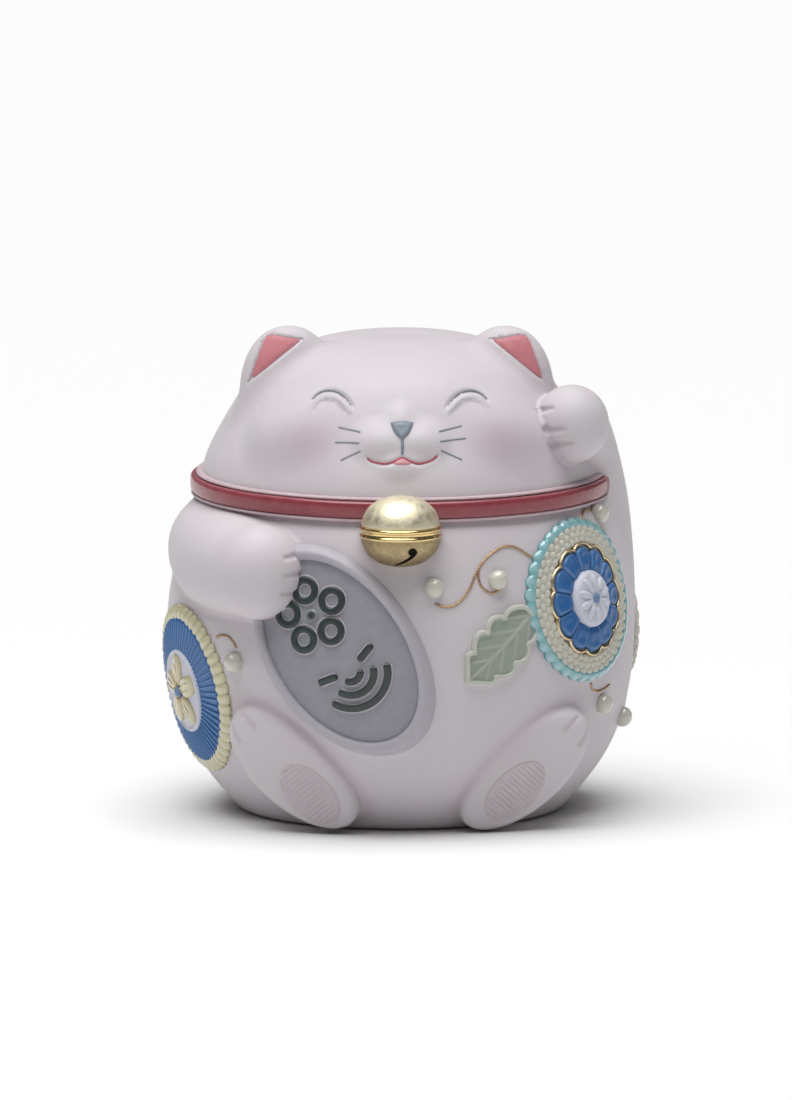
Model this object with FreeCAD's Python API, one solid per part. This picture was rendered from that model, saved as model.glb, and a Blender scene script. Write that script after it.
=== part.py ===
"""Beckoning cat figurine: a hollow bisque porcelain cat, cast in sections that are joined with slip,
with a glazed collar, a gilt bell, an oval coin, and applied rosettes, leaves, stems and beads.

Millimetres. +Z is up, the cat faces -Y, and its left arm, which beckons, is on the +X side.
The origin is the centre of the flat base. Azimuth is in degrees round +Z, from the front (-Y)
towards +X. The seam is the level where the head casting stands on the body casting. A relief is
a piece that follows the body's surface, between two heights above it.
"""
import FreeCAD, Part
import math
import os

from FreeCAD import Matrix, Placement, Rotation, Vector

# ---- driving dimensions -------------------------------------------------------------------
BASE_R = 62.5            # the flat base
BASE_EDGE = 2.0          # rounding of the base's edge
BELLY_R = 91.0           # widest radius of the body
BELLY_Z = 74.0
SEAM_R = 78.5            # where body and head castings meet, under the collar
SEAM_Z = 128.0
HEAD_H = 60.5            # crown above the seam
FLANK_POWER = 2.7        # how full the body is below the belly
SHOULDER_POWER = 1.7     # and above it
WALL = 4.0               # slip-cast wall
BASE_WALL = 5.0
VENT_R = 4.0             # firing vent through the base
VENT_Y = 34.0
LAP_H = 3.0              # stepped joint between the two castings
FIT = 0.15               # gap left for slip in that joint

CHEEK_R, TEMPLE_R, BROW_R, CROWN_R = 75.0, 72.0, 70.0, 65.3   # head, from the seam's centre,
CHEEK_A, TEMPLE_A, BROW_A, CROWN_A = 12.0, 26.0, 42.0, 60.0   # at these angles above the seam

COLLAR_H = 6.6           # glazed band
COLLAR_T = 2.9
COLLAR_CROWN = 0.5       # how far its face bulges
EDGING_H = 1.4           # plain ridge above and below the band
EDGING_T = 0.9
EDGING_CROWN = 0.4

BELL_R = 15.2
BELL_H = 27.4
BELL_WALL = 1.8
BELT_H = 4.6
BELT_T = 0.9             # how far the belt's lips stand out
BELL_REACH = 5.5         # bell's axis in front of the seam's radius
BELL_DROP = 7.5          # bell's middle below the seam
SLOT_W = 1.0
SLOT_HOLE_R = 1.5

EAR_L, EAR_W, EAR_D = 30.5, 20.0, 13.0   # length, half width and half depth at the root
EAR_ROOT = (42.0, -15.0, SEAM_Z + 33.6)
EAR_SHIFT = -1.5         # both ears sit a little to the cat's right
EAR_LEAN = 4.0           # outwards, in degrees
EAR_TIP_ROUND = 1.2
LINING_T = 1.2

OUT, UP = BELLY_R / 91.0, SEAM_Z / 128.0  # limbs and coin are drawn for these, and follow them
COIN_AZ, COIN_Z = -15.2, 74.0 * UP
COIN_A, COIN_B = 46.0, 29.8              # half length and half width
COIN_TURN = -53.0                        # long axis in the surface, from horizontal
COIN_T, COIN_RIM_T, COIN_RIM_W, EMBLEM_T = 3.4, 2.4, 4.6, 1.2
COIN_LEDGE = 0.4                         # the plate's edge outside the rim
STROKE_W = 2.8                           # emblem strokes
EMBLEM_R = 15.5                          # reach of each of its two figures
EMBLEM_OUT = 17.5                        # each one's middle, from the coin's

FOOT_A, FOOT_B, FOOT_C = 31.5, 16.8, 8.5  # sole's half length, half width, and dome
FOOT_SINK = 3.0                          # dome's middle below the body's surface
PAD_A, PAD_B, PAD_T = 16.5, 10.5, 0.5
FEET = {"right": (-30.0, 25.5, 131.0, 138.0), "left": (36.0, 25.5, 49.0, 42.0)}

PAW_BECKON = ((66.3, -35.0, SEAM_Z + 27.3), (14.2, 14.5, 15.2))      # centre and half sizes
PAW_COIN = ((-54.5 * OUT, -75.0 * OUT, 103.0 * UP), (15.5, 14.0, 18.5))
BECKON_PATH = [(80.0, 8.0, 76.0, 9.0), (76.5, 6.0, 96.0, 13.5), (73.0, 4.0, 118.0, 15.5),
               (70.0, 0.0, 138.0, 14.5), (67.0, -13.0, 151.5, 13.5), (65.5, -28.0, 155.0, 12.2)]
COIN_ARM_PATH = [(-67.0, 12.0, 112.0, 11.0), (-71.5, -8.0, 106.0, 18.0),
                 (-69.0, -34.0, 102.5, 20.0), (-62.0, -56.0, 102.5, 19.5), (-55.0, -71.0, 103.0, 17.0)]
TAIL_PATH = [(-8.0, 70.0, 17.0, 8.0), (4.0, 83.0, 19.0, 9.5), (27.0, 84.0, 24.0, 9.5),
             (43.0, 80.0, 40.0, 8.5), (42.0, 84.0, 57.0, 6.5)]

ROSETTE_A = (53.5, 89.0)                 # azimuth and height of each rosette's middle
A_RIM_R, A_FIELD_R, A_GILT_R, A_PETAL_R, A_BUTTON_R = 32.0, 28.8, 22.0, 19.6, 11.2
A_SCALLOPS, A_PETALS, A_FLORETS = 40, 12, 10
ROSETTE_B = (-69.0, 50.5)
B_RIM_R, B_PLEAT_R, B_DISC_R, B_BLOSSOM_R = 33.5, 28.4, 16.6, 13.6
B_FLUTES, B_PETALS = 48, 5
ROSETTE_C = (103.0, 68.0)
C_RIM_R, C_BUTTON_R, C_PETALS = 19.0, 6.0, 14
EYE_R = 2.2                              # boss in the middle of a rosette
LAYER_T = 1.7                            # height of one layer of a rosette

BEAD_R = 3.9
BEAD_LIFT = 0.6          # its middle above the surface
BEADS = {"front": [(8.5, 98.5), (25.5, 100.5)],
         "left_side": [(69.0, 118.6), (61.0, 47.0), (81.0, 37.5)],
         "right_side": [(-44.6, 66.5)]}
STEM_W, STEM_T = 0.9, 0.45
STEMS = {"front": [[(35.0, 109.5), (28.5, 113.5), (22.5, 109.5), (17.5, 97.5), (12.0, 91.0),
                    (8.5, 92.6)],
                   [(20.5, 106.0), (20.5, 98.5), (24.5, 94.6)]],
         "left_side": [[(60.0, 117.8), (62.3, 121.0), (66.0, 121.2)],
                       [(54.0, 59.0), (57.5, 53.0), (64.0, 54.0)]],
         "right_side": [[(-51.5, 74.5), (-48.0, 76.2), (-44.5, 71.5)]]}

LEAF_T, LEAF_BLADE_T = 1.6, 0.8
LEAF_BORDER = 1.6
LEAVES = {"front": (25.5, 74.0, 37.0, 11.0, 222.0), "back": (107.0, 40.0, 30.0, 9.0, 200.0)}
LEAF_LOBES = 4

BALL_SEAM = 235.0        # where a rounded piece's surface closes on itself, clear of its neighbours
RELIEF_REACH = 16.0      # how far a relief's cutting prism runs below and above the surface
RELIEF_LOW, RELIEF_HIGH = 3.0, SEAM_Z - COLLAR_H / 2 - EDGING_H


# ---- body's surface -----------------------------------------------------------------------
def body_radius(z):
    """Outer radius of the body at height z."""
    if z <= BELLY_Z:
        return BELLY_R - (BELLY_R - BASE_R) * ((BELLY_Z - z) / BELLY_Z) ** FLANK_POWER
    share = (z - BELLY_Z) / (SEAM_Z - BELLY_Z)
    return BELLY_R - (BELLY_R - SEAM_R) * share ** SHOULDER_POWER


def profile_normal(z):
    """Outward unit normal of the profile at height z, as (radial, up)."""
    step = 0.01
    slope = (body_radius(z + step) - body_radius(z - step)) / (2 * step)
    length = math.hypot(1.0, slope)
    return 1.0 / length, -slope / length


def profile_point(z, height):
    """(radius, z) of the point that stands height off the surface, opposite height z."""
    out, up = profile_normal(z)
    return body_radius(z) + height * out, z + height * up


def on_body(azimuth, z, height=0.0):
    """The point height outside the body's surface."""
    r, up = profile_point(z, height)
    a = math.radians(azimuth)
    return Vector(r * math.sin(a), -r * math.cos(a), up)


def surface_curve(height, low, high, count=14):
    """The body's profile, moved out by height, as a curve in the XZ plane."""
    levels = [low + (high - low) * i / (count - 1) for i in range(count)]
    found = [profile_point(z, height) for z in levels]
    curve = Part.BSplineCurve()
    curve.interpolate([Vector(r, 0, z) for r, z in found])
    return curve.toShape()


def turned(edges):
    """The solid of a closed outline in the XZ plane, turned round the Z axis."""
    face = Part.Face(Part.Wire(Part.__sortEdges__(edges)))
    return face.revolve(Vector(0, 0, 0), Vector(0, 0, 1), 360)


def line(a, b):
    return Part.LineSegment(Vector(a[0], 0, a[1]), Vector(b[0], 0, b[1])).toShape()


def corner(edge, last):
    """(x, z) of an edge's first or last point."""
    p = edge.valueAt(edge.LastParameter if last else edge.FirstParameter)
    return p.x, p.z


_skins = {}


def skin(low_h, high_h):
    """The layer between two heights above the body's surface."""
    key = (round(low_h, 4), round(high_h, 4))
    if key not in _skins:
        inner = surface_curve(low_h, RELIEF_LOW, RELIEF_HIGH)
        outer = surface_curve(high_h, RELIEF_LOW, RELIEF_HIGH)
        _skins[key] = turned([inner, line(corner(inner, True), corner(outer, True)), outer,
                              line(corner(outer, False), corner(inner, False))])
    return _skins[key]


def frame_at(azimuth, z):
    """Placement whose X runs level along the surface, Y up it and Z out of it."""
    a = math.radians(azimuth)
    out, up = profile_normal(z)
    n = Vector(out * math.sin(a), -out * math.cos(a), up)
    u = Vector(math.cos(a), math.sin(a), 0)
    v = n.cross(u)
    p = on_body(azimuth, z)
    return Placement(Matrix(u.x, v.x, n.x, p.x, u.y, v.y, n.y, p.y, u.z, v.z, n.z, p.z, 0, 0, 0, 1))


def to_frame(place, azimuth, z):
    """Flat coordinates, in the frame at place, of a point on the body's surface."""
    p = place.inverse().multVec(on_body(azimuth, z))
    return p.x, p.y


def relief(face, place, low_h, high_h):
    """The solids under a flat outline, drawn in the frame at place, between two heights."""
    prism = face.copy()
    prism.translate(Vector(0, 0, -RELIEF_REACH))
    prism = prism.extrude(Vector(0, 0, 2 * RELIEF_REACH))
    prism.Placement = place.multiply(prism.Placement)
    return prism.common(skin(low_h, high_h)).Solids


# ---- flat outlines ------------------------------------------------------------------------
def flat(x, y):
    return Vector(x, y, 0)


def polar(r, degrees):
    return flat(r * math.cos(math.radians(degrees)), r * math.sin(math.radians(degrees)))


def face_of(*wires):
    return Part.makeFace(list(wires), "Part::FaceMakerBullseye")


def circle(r, centre=Vector(0, 0, 0)):
    return Part.Wire(Part.Circle(centre, Vector(0, 0, 1), r).toShape())


def ellipse(a, b, degrees=0.0):
    wire = Part.Wire(Part.Ellipse(Vector(0, 0, 0), a, b).toShape())
    wire.rotate(Vector(0, 0, 0), Vector(0, 0, 1), degrees)
    return wire


def chain(arcs):
    """A closed wire of three-point arcs."""
    return Part.Wire([Part.Arc(*three).toShape() for three in arcs])


def scalloped(count, valley, peak, phase=0.0):
    step = 360.0 / count
    turns = [phase + step * i for i in range(count)]
    return chain([(polar(valley, t), polar(peak, t + step / 2), polar(valley, t + step))
                  for t in turns])


def petal(root, tip, root_half, tip_half, degrees):
    """A petal from radius root to radius tip, with a round end, pointing at degrees."""
    shoulder = tip - tip_half
    a, b = flat(root, -root_half), flat(shoulder, -tip_half)
    c, d = flat(shoulder, tip_half), flat(root, root_half)
    wire = Part.Wire([Part.LineSegment(a, b).toShape(), Part.Arc(b, flat(tip, 0), c).toShape(),
                      Part.LineSegment(c, d).toShape(), Part.LineSegment(d, a).toShape()])
    wire.rotate(Vector(0, 0, 0), Vector(0, 0, 1), degrees)
    return face_of(wire)


def ribbon(points, width, samples=9):
    """A band of even width along a smooth curve through flat points, with square ends."""
    curve = Part.BSplineCurve()
    curve.interpolate([flat(*p) for p in points])
    low, high = curve.FirstParameter, curve.LastParameter
    sides = ([], [])
    for i in range(samples):
        at = low + (high - low) * i / (samples - 1)
        along = curve.tangent(at)[0]
        across = Vector(-along.y, along.x, 0) * (width / 2)
        sides[0].append(curve.value(at) + across)
        sides[1].append(curve.value(at) - across)
    edges = []
    for side in sides:
        bent = Part.BSplineCurve()
        bent.interpolate(side)
        edges.append(bent.toShape())
    ends = [Part.LineSegment(sides[0][i], sides[1][i]).toShape() for i in (0, -1)]
    return face_of(Part.Wire(Part.__sortEdges__([edges[0], ends[1], edges[1], ends[0]])))


def lobed_leaf(length, half_width, inset, degrees):
    """A leaf from its stalk at the origin, with round lobes down each side, drawn inset."""
    tip = length - 1.6 * inset

    def edge_point(share, side, bulge=1.0):
        wide = math.sin(math.pi * min(1.0, 0.12 + 0.80 * share)) ** 0.7
        y = side * max(0.4, (half_width - inset) * wide * bulge)
        return flat(inset + (tip - inset) * share, y)

    valleys = [i / LEAF_LOBES for i in range(LEAF_LOBES)]
    up = [edge_point(s, 1, 0.62) for s in valleys] + [flat(tip, 0)]
    down = [edge_point(s, -1, 0.62) for s in valleys] + [flat(tip, 0)]
    arcs = []
    for i in range(LEAF_LOBES):
        arcs.append((up[i], edge_point((i + 0.6) / LEAF_LOBES, 1), up[i + 1]))
    for i in reversed(range(LEAF_LOBES)):
        arcs.append((down[i + 1], edge_point((i + 0.6) / LEAF_LOBES, -1), down[i]))
    stalk = Part.LineSegment(down[0], up[0]).toShape()
    wire = Part.Wire([Part.Arc(*three).toShape() for three in arcs] + [stalk])
    wire.rotate(Vector(0, 0, 0), Vector(0, 0, 1), degrees)
    return wire


# ---- solids -------------------------------------------------------------------------------
def ellipsoid(centre, halves, turn=None):
    """A ball stretched to three half sizes, turned, then put at its centre."""
    a, b, c = halves
    ball = Part.makeSphere(1.0)
    ball.rotate(Vector(0, 0, 0), Vector(0, 0, 1), BALL_SEAM)
    ball = ball.transformGeometry(Matrix(a, 0, 0, 0, 0, b, 0, 0, 0, 0, c, 0, 0, 0, 0, 1))
    ball.Placement = Placement(Vector(*centre), turn or Rotation())
    return ball


def limb(path):
    """A round limb through circles, each given as x, y, z and radius."""
    centres = [Vector(*p[:3]) for p in path]
    wires = []
    for i, (centre, p) in enumerate(zip(centres, path)):
        along = centres[min(i + 1, len(path) - 1)] - centres[max(i - 1, 0)]
        wires.append(Part.Wire(Part.Circle(centre, along, p[3]).toShape()))
    return Part.makeLoft(wires, True, False)


def clear_of(shape, *others):
    """The solids of a shape less what others fill, with crumbs left out."""
    for other in others:
        if shape.BoundBox.intersect(other.BoundBox):
            shape = shape.cut(other)
    whole = max(s.Volume for s in shape.Solids)
    return [s for s in shape.Solids if s.Volume > 0.02 * whole]


def largest(shape, *others):
    return max(clear_of(shape, *others), key=lambda s: s.Volume)


def body_block():
    """The body casting's outside, filled."""
    spans = ((0.0, RELIEF_LOW), (RELIEF_LOW, RELIEF_HIGH), (RELIEF_HIGH, SEAM_Z))
    side = [surface_curve(0.0, low, high) for low, high in spans]
    block = turned(side + [line(corner(side[-1], True), (0, SEAM_Z)), line((0, SEAM_Z), (0, 0)),
                           line((0, 0), corner(side[0], False))])
    rim = [e for e in block.Edges if e.BoundBox.ZMax < 0.01 and e.BoundBox.XMax > BASE_R - 1]
    return block.makeFillet(BASE_EDGE, rim)


def body_shell(block):
    levels = [BASE_WALL + (SEAM_Z - BASE_WALL) * i / 10 for i in range(11)]
    inner = Part.BSplineCurve()
    inner.interpolate([Vector(body_radius(z) - WALL / profile_normal(z)[0], 0, z) for z in levels])
    side = inner.toShape()
    cavity = turned([side, line(corner(side, True), (0, SEAM_Z)), line((0, SEAM_Z), (0, BASE_WALL)),
                     line((0, BASE_WALL), corner(side, False))])
    vent = Part.makeCylinder(VENT_R, 2 * BASE_WALL, Vector(0, VENT_Y, -BASE_WALL / 2))
    lap = Part.makeCylinder(lap_radius(), LAP_H, Vector(0, 0, SEAM_Z))
    lap = lap.cut(Part.makeCylinder(corner(side, True)[0], LAP_H, Vector(0, 0, SEAM_Z)))
    return block.cut([cavity, vent]).fuse(lap).removeSplitter()


def lap_radius():
    """Outside of the body's lap, which stands inside the head's rebate."""
    return SEAM_R - WALL / 2


def head_block(shrink=0.0):
    """The head casting's outside, filled, or its cavity when shrunk by the wall."""
    stations = [(0.0, SEAM_R), (CHEEK_A, CHEEK_R), (TEMPLE_A, TEMPLE_R), (BROW_A, BROW_R),
                (CROWN_A, CROWN_R), (90.0, HEAD_H)]
    points = [Vector((r - shrink) * math.cos(math.radians(a)), 0,
                     SEAM_Z + (r - shrink) * math.sin(math.radians(a))) for a, r in stations]
    curve = Part.BSplineCurve()
    curve.interpolate(Points=points, InitialTangent=Vector(-0.3, 0, 1),
                      FinalTangent=Vector(-1, 0, 0))
    side = curve.toShape()
    return turned([side, line((0, points[-1].z), (0, SEAM_Z)), line((0, SEAM_Z), (points[0].x, SEAM_Z))])


def head_shell(block):
    rebate = Part.makeCylinder(lap_radius() + FIT, LAP_H + FIT, Vector(0, 0, SEAM_Z))
    return block.cut([head_block(WALL), rebate])


def ring_on_neck(low, high, radius, bulge):
    """A band round the neck, its outer face crowned by bulge."""
    middle = (low + high) / 2
    inside = SEAM_R - WALL / 2
    crown = Part.Arc(Vector(radius, 0, low), Vector(radius + bulge, 0, middle),
                     Vector(radius, 0, high)).toShape()
    return turned([crown, line((radius, high), (inside, high)), line((inside, high), (inside, low)),
                   line((inside, low), (radius, low))])


def ear(side, inset=0.0):
    """An ear, round-tipped, flattened from front to back, and leaning outwards."""
    wires = []
    for share in (0.0, 0.3, 0.6, 0.82, 0.97):
        taper = (1.0 - share ** 2.2) ** 0.45
        oval = Part.Ellipse(Vector(0, 0, share * (EAR_L - inset)), (EAR_W - inset) * taper,
                            (EAR_D - inset) * taper)
        wires.append(Part.Wire(oval.toShape()))
    horn = Part.makeLoft(wires, True, False)
    tip = [e for e in horn.Edges if e.BoundBox.ZMin > 0.96 * (EAR_L - inset)]
    horn = horn.makeFillet(EAR_TIP_ROUND, tip)
    x, y, z = EAR_ROOT
    horn.Placement = Placement(Vector(side * x + EAR_SHIFT, y, z), Rotation(Vector(0, 1, 0), side * EAR_LEAN))
    return horn


def ear_window(side):
    """The three-cornered prism, seen from the front, that holds an ear's lining."""
    x, _, z = EAR_ROOT
    shares = ((-0.25, 0.81), (0.32, 0.86), (0.70, 0.36))
    corners = [Vector(side * w * EAR_W, 0, h * EAR_L) for w, h in shares]
    window = Part.Face(Part.makePolygon(corners + corners[:1])).extrude(Vector(0, -2 * EAR_W, 0))
    window.Placement = Placement(Vector(side * x + EAR_SHIFT, 0, z), Rotation(Vector(0, 1, 0), side * EAR_LEAN))
    return window


def bell_middle():
    return Vector(0, -(SEAM_R + BELL_REACH), SEAM_Z - BELL_DROP)


def bell_ball(shrink):
    return ellipsoid(bell_middle(), (BELL_R - shrink, BELL_R - shrink, BELL_H / 2 - shrink))


def bell_slice(shape, low, high):
    """The part of a bell shape between two levels from the bell's middle."""
    size = 2 * BELL_R + 10
    base = bell_middle() + Vector(-size / 2, -size / 2, low)
    return shape.common(Part.makeBox(size, size, high - low, base))


def bell_slot():
    """Round hole and curved slit, cut from the front through the lower half."""
    m = bell_middle()
    hole = Part.makeCylinder(SLOT_HOLE_R, 3 * BELL_R, m + Vector(0.28 * BELL_R, 0, -0.36 * BELL_R),
                             Vector(0, -1, 0))
    band = ribbon([(0.33 * BELL_R, -0.36 * BELL_R), (0.28 * BELL_R, -0.56 * BELL_R),
                   (0.10 * BELL_R, -0.76 * BELL_R), (-0.16 * BELL_R, -0.92 * BELL_R)], SLOT_W)
    slit = band.extrude(Vector(0, 0, 3 * BELL_R))
    slit.Placement = Placement(m, Rotation(Vector(1, 0, 0), 90))
    return hole.fuse(slit)


def bell_belt():
    """The waist ring, with a hollow channel between two lips."""
    half = BELT_H / 2
    out = BELL_R + BELT_T
    lip = 0.22 * BELT_H
    channel = Part.Arc(Vector(out, 0, half - lip), Vector(out - 1.3, 0, 0),
                       Vector(out, 0, lip - half)).toShape()
    inside = BELL_R - BELL_WALL
    belt = turned([line((inside, -half), (out, -half)), line((out, -half), (out, lip - half)), channel,
                   line((out, half - lip), (out, half)), line((out, half), (inside, half)),
                   line((inside, half), (inside, -half))])
    belt.translate(bell_middle())
    return belt


def emblem_faces():
    """A plum blossom and a fan of waves, in the coin's frame with X along its length."""
    blossom, waves = Vector(-EMBLEM_OUT, 0, 0), Vector(EMBLEM_OUT - 0.55 * EMBLEM_R, 0, 0)
    lobe_r = 0.36 * EMBLEM_R
    faces = [face_of(circle(0.16 * EMBLEM_R, blossom))]
    for i in range(5):
        lobe = blossom + polar(EMBLEM_R - lobe_r, 90 + 72 * i)
        faces.append(face_of(circle(lobe_r, lobe), circle(lobe_r - STROKE_W, lobe)))
    for share in (0.26, 0.60, 0.94):
        arc = [waves + polar(share * EMBLEM_R, a) for a in (-68, -34, 0, 34, 68)]
        faces.append(ribbon([(p.x, p.y) for p in arc], STROKE_W))
    for side in (-1, 1):
        ends = [waves + polar(share * EMBLEM_R, side * 105) for share in (0.34, 0.62, 0.90)]
        faces.append(ribbon([(p.x, p.y) for p in ends], STROKE_W))
    return faces


# ---- assembly -----------------------------------------------------------------------------
def castings(nodes):
    """Body, head, ears and collar."""
    body, head = body_block(), head_block()
    nodes["body_shell"] = [body_shell(body)]
    nodes["head_shell"] = [head_shell(head)]
    for side, name in ((-1, "right"), (1, "left")):
        whole = largest(ear(side), head)
        lining = whole.common(ear_window(side)).cut(ear(side, LINING_T))
        nodes[f"ear_{name}"] = [largest(whole, lining)]
        nodes[f"ear_lining_{name}"] = [largest(lining, head)]
    half = COLLAR_H / 2
    band = ring_on_neck(SEAM_Z - half, SEAM_Z + half, SEAM_R + COLLAR_T, COLLAR_CROWN)
    nodes["collar_band"] = [largest(band, body, head)]
    under = body_radius(SEAM_Z - half - EDGING_H) + EDGING_T
    ridges = [ring_on_neck(SEAM_Z + half, SEAM_Z + half + EDGING_H, SEAM_R + EDGING_T, EDGING_CROWN),
              ring_on_neck(SEAM_Z - half - EDGING_H, SEAM_Z - half, under, EDGING_CROWN)]
    nodes["collar_edging"] = [largest(r, body, head) for r in ridges]
    return body, head


def bell(nodes, body, head):
    behind = [body, head] + nodes["collar_band"] + nodes["collar_edging"]
    half = BELT_H / 2
    shell = bell_ball(0.0).cut(bell_ball(BELL_WALL))
    nodes["bell_crown"] = [largest(bell_slice(shell, half, BELL_R), *behind)]
    nodes["bell_belt"] = [largest(bell_belt(), *behind)]
    nodes["bell_cup"] = [largest(bell_slice(shell, -BELL_R, -half).cut(bell_slot()), *behind)]


def coin(nodes):
    place = frame_at(COIN_AZ, COIN_Z).multiply(Placement(Vector(), Rotation(Vector(0, 0, 1), COIN_TURN)))
    plate = ellipse(COIN_A, COIN_B)
    outer = ellipse(COIN_A - COIN_LEDGE, COIN_B - COIN_LEDGE)
    inner = ellipse(COIN_A - COIN_RIM_W, COIN_B - COIN_RIM_W)
    nodes["coin_plate"] = relief(face_of(plate), place, 0.0, COIN_T)
    nodes["coin_rim"] = relief(face_of(outer, inner), place, COIN_T, COIN_T + COIN_RIM_T)
    nodes["coin_emblem"] = [s for f in emblem_faces()
                            for s in relief(f, place, COIN_T, COIN_T + EMBLEM_T)]


def feet(nodes, body):
    for name, (azimuth, z, turn, pad_turn) in FEET.items():
        place = frame_at(azimuth, z)
        sole = ellipsoid((0, 0, 0), (FOOT_A, FOOT_B, FOOT_C))
        tilt = Rotation(Vector(0, 0, 1), turn).multiply(Rotation(Vector(0, 1, 0), -4.0))
        sole.Placement = place.multiply(Placement(Vector(0, 0, FOOT_C - FOOT_SINK - 3.0), tilt))
        under = Part.makeBox(400, 400, 50, Vector(-200, -200, -50 + BASE_EDGE / 4))
        foot = largest(sole, body, under, *nodes["coin_plate"], *nodes["coin_rim"])
        heel = -math.copysign(0.36 * FOOT_A, math.cos(math.radians(turn)))
        pad_at = Placement(Vector(heel * 0.42, -0.38 * FOOT_A, 0), Rotation(Vector(0, 0, 1), pad_turn))
        prism = face_of(ellipse(PAD_A, PAD_B)).extrude(Vector(0, 0, 2 * RELIEF_REACH))
        prism.Placement = place.multiply(pad_at)
        grown = ellipsoid((0, 0, 0), (FOOT_A + PAD_T, FOOT_B + PAD_T, FOOT_C + PAD_T))
        grown.Placement = sole.Placement
        pad = prism.common(grown).cut([sole, body, under])
        nodes[f"foot_{name}"] = [foot]
        nodes[f"foot_pad_{name}"] = [max(pad.Solids, key=lambda s: s.Volume)]


def fitted(path):
    """A limb's path, moved with the belly and the seam."""
    return [(x * OUT, y * OUT, z * UP, r) for x, y, z, r in path]


def arms(nodes, body, head):
    behind = [body, head] + nodes["collar_band"] + nodes["collar_edging"]
    ears = nodes["ear_left"] + nodes["ear_lining_left"]
    paw = largest(ellipsoid(*PAW_BECKON), *behind, *ears)
    nodes["beckoning_paw"] = [paw]
    nodes["beckoning_arm"] = [largest(limb(fitted(BECKON_PATH)), paw, *behind, *ears)]
    under = nodes["coin_plate"] + nodes["coin_rim"] + nodes["coin_emblem"]
    paw = largest(ellipsoid(*PAW_COIN), *behind, *under)
    nodes["coin_paw"] = [paw]
    nodes["coin_arm"] = [largest(limb(fitted(COIN_ARM_PATH)), paw, *behind, *under)]
    nodes["tail"] = [largest(limb(fitted(TAIL_PATH)), body)]


def rosette_a(nodes):
    """Turquoise scalloped rim, beaded field, gilt line, twelve petals and a small daisy."""
    place = frame_at(*ROSETTE_A)
    t = LAYER_T
    rim = scalloped(A_SCALLOPS, A_RIM_R - 0.9, A_RIM_R)
    nodes["rosette_a_rim"] = relief(face_of(rim), place, 0.0, t)
    gilt_out = scalloped(A_PETALS, A_GILT_R - 1.8, A_GILT_R, 180.0 / A_PETALS)
    gilt_in = scalloped(A_PETALS, A_GILT_R - 2.6, A_GILT_R - 0.8, 180.0 / A_PETALS)
    nodes["rosette_a_field"] = relief(face_of(circle(A_FIELD_R), gilt_out), place, t, 1.9 * t)
    nodes["rosette_a_gilt"] = relief(face_of(gilt_out, gilt_in), place, t, 2.05 * t)
    step = 360.0 / A_PETALS
    half = A_PETAL_R * math.sin(math.radians(step / 2)) * 0.83
    petals = [petal(A_BUTTON_R + 0.6, A_PETAL_R, 0.62 * half, half, step * i) for i in range(A_PETALS)]
    nodes["rosette_a_petals"] = [s for p in petals for s in relief(p, place, t, 2.1 * t)]
    nodes["rosette_a_button"] = relief(face_of(circle(A_BUTTON_R)), place, t, 2.4 * t)
    step = 360.0 / A_FLORETS
    florets = [petal(EYE_R + 0.5, A_BUTTON_R - 1.2, 0.5, 2.0, step * i) for i in range(A_FLORETS)]
    nodes["rosette_a_florets"] = [s for p in florets for s in relief(p, place, 2.4 * t, 3.0 * t)]
    nodes["rosette_a_eye"] = relief(face_of(circle(EYE_R)), place, 2.4 * t, 3.1 * t)


def rosette_b(nodes):
    """Fluted cream rim, pleated blue ring, pale disc and a five-petalled blossom."""
    place = frame_at(*ROSETTE_B)
    t = LAYER_T
    rim = scalloped(B_FLUTES, B_RIM_R - 0.6, B_RIM_R)
    nodes["rosette_b_rim"] = relief(face_of(rim), place, 0.0, t)
    nodes["rosette_b_pleats"] = relief(face_of(circle(B_PLEAT_R), circle(B_DISC_R + 0.1)), place, t, 1.8 * t)
    nodes["rosette_b_disc"] = relief(face_of(circle(B_DISC_R)), place, t, 1.9 * t)
    step = 360.0 / B_PETALS
    petals = [petal(EYE_R + 0.6, B_BLOSSOM_R, 1.3, 4.6, 90 + step * i) for i in range(B_PETALS)]
    nodes["rosette_b_blossom"] = [s for p in petals for s in relief(p, place, 1.9 * t, 2.6 * t)]
    nodes["rosette_b_eye"] = relief(face_of(circle(EYE_R)), place, 1.9 * t, 2.7 * t)


def rosette_c(nodes):
    """Small ivory chrysanthemum on the left flank."""
    place = frame_at(*ROSETTE_C)
    t = LAYER_T
    nodes["rosette_c_rim"] = relief(face_of(scalloped(C_PETALS, C_RIM_R - 1.6, C_RIM_R)), place, 0.0, t)
    step = 360.0 / C_PETALS
    petals = [petal(C_BUTTON_R + 0.5, C_RIM_R - 2.4, 0.9, 2.6, step * i) for i in range(C_PETALS)]
    nodes["rosette_c_petals"] = [s for p in petals for s in relief(p, place, t, 1.8 * t)]
    nodes["rosette_c_button"] = relief(face_of(circle(C_BUTTON_R)), place, t, 2.2 * t)


def leaves(nodes):
    for name, (azimuth, z, length, half_width, turn) in LEAVES.items():
        a = math.radians(turn)
        place = frame_at(azimuth, z)
        stalk = Vector(-math.cos(a) * length / 2, -math.sin(a) * length / 2, 0)
        outline = lobed_leaf(length, half_width, 0.0, turn)
        blade = lobed_leaf(length, half_width, LEAF_BORDER, turn)
        outline.translate(stalk)
        blade.translate(stalk)
        rims = nodes["rosette_a_rim"] + nodes["rosette_c_rim"]
        layers = {f"leaf_{name}": relief(face_of(outline), place, 0.0, LEAF_T),
                  f"leaf_{name}_blade": relief(face_of(blade), place, LEAF_T, LEAF_T + LEAF_BLADE_T)}
        for node, layer in layers.items():
            nodes[node] = [largest(solid, *rims) for solid in layer]


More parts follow.
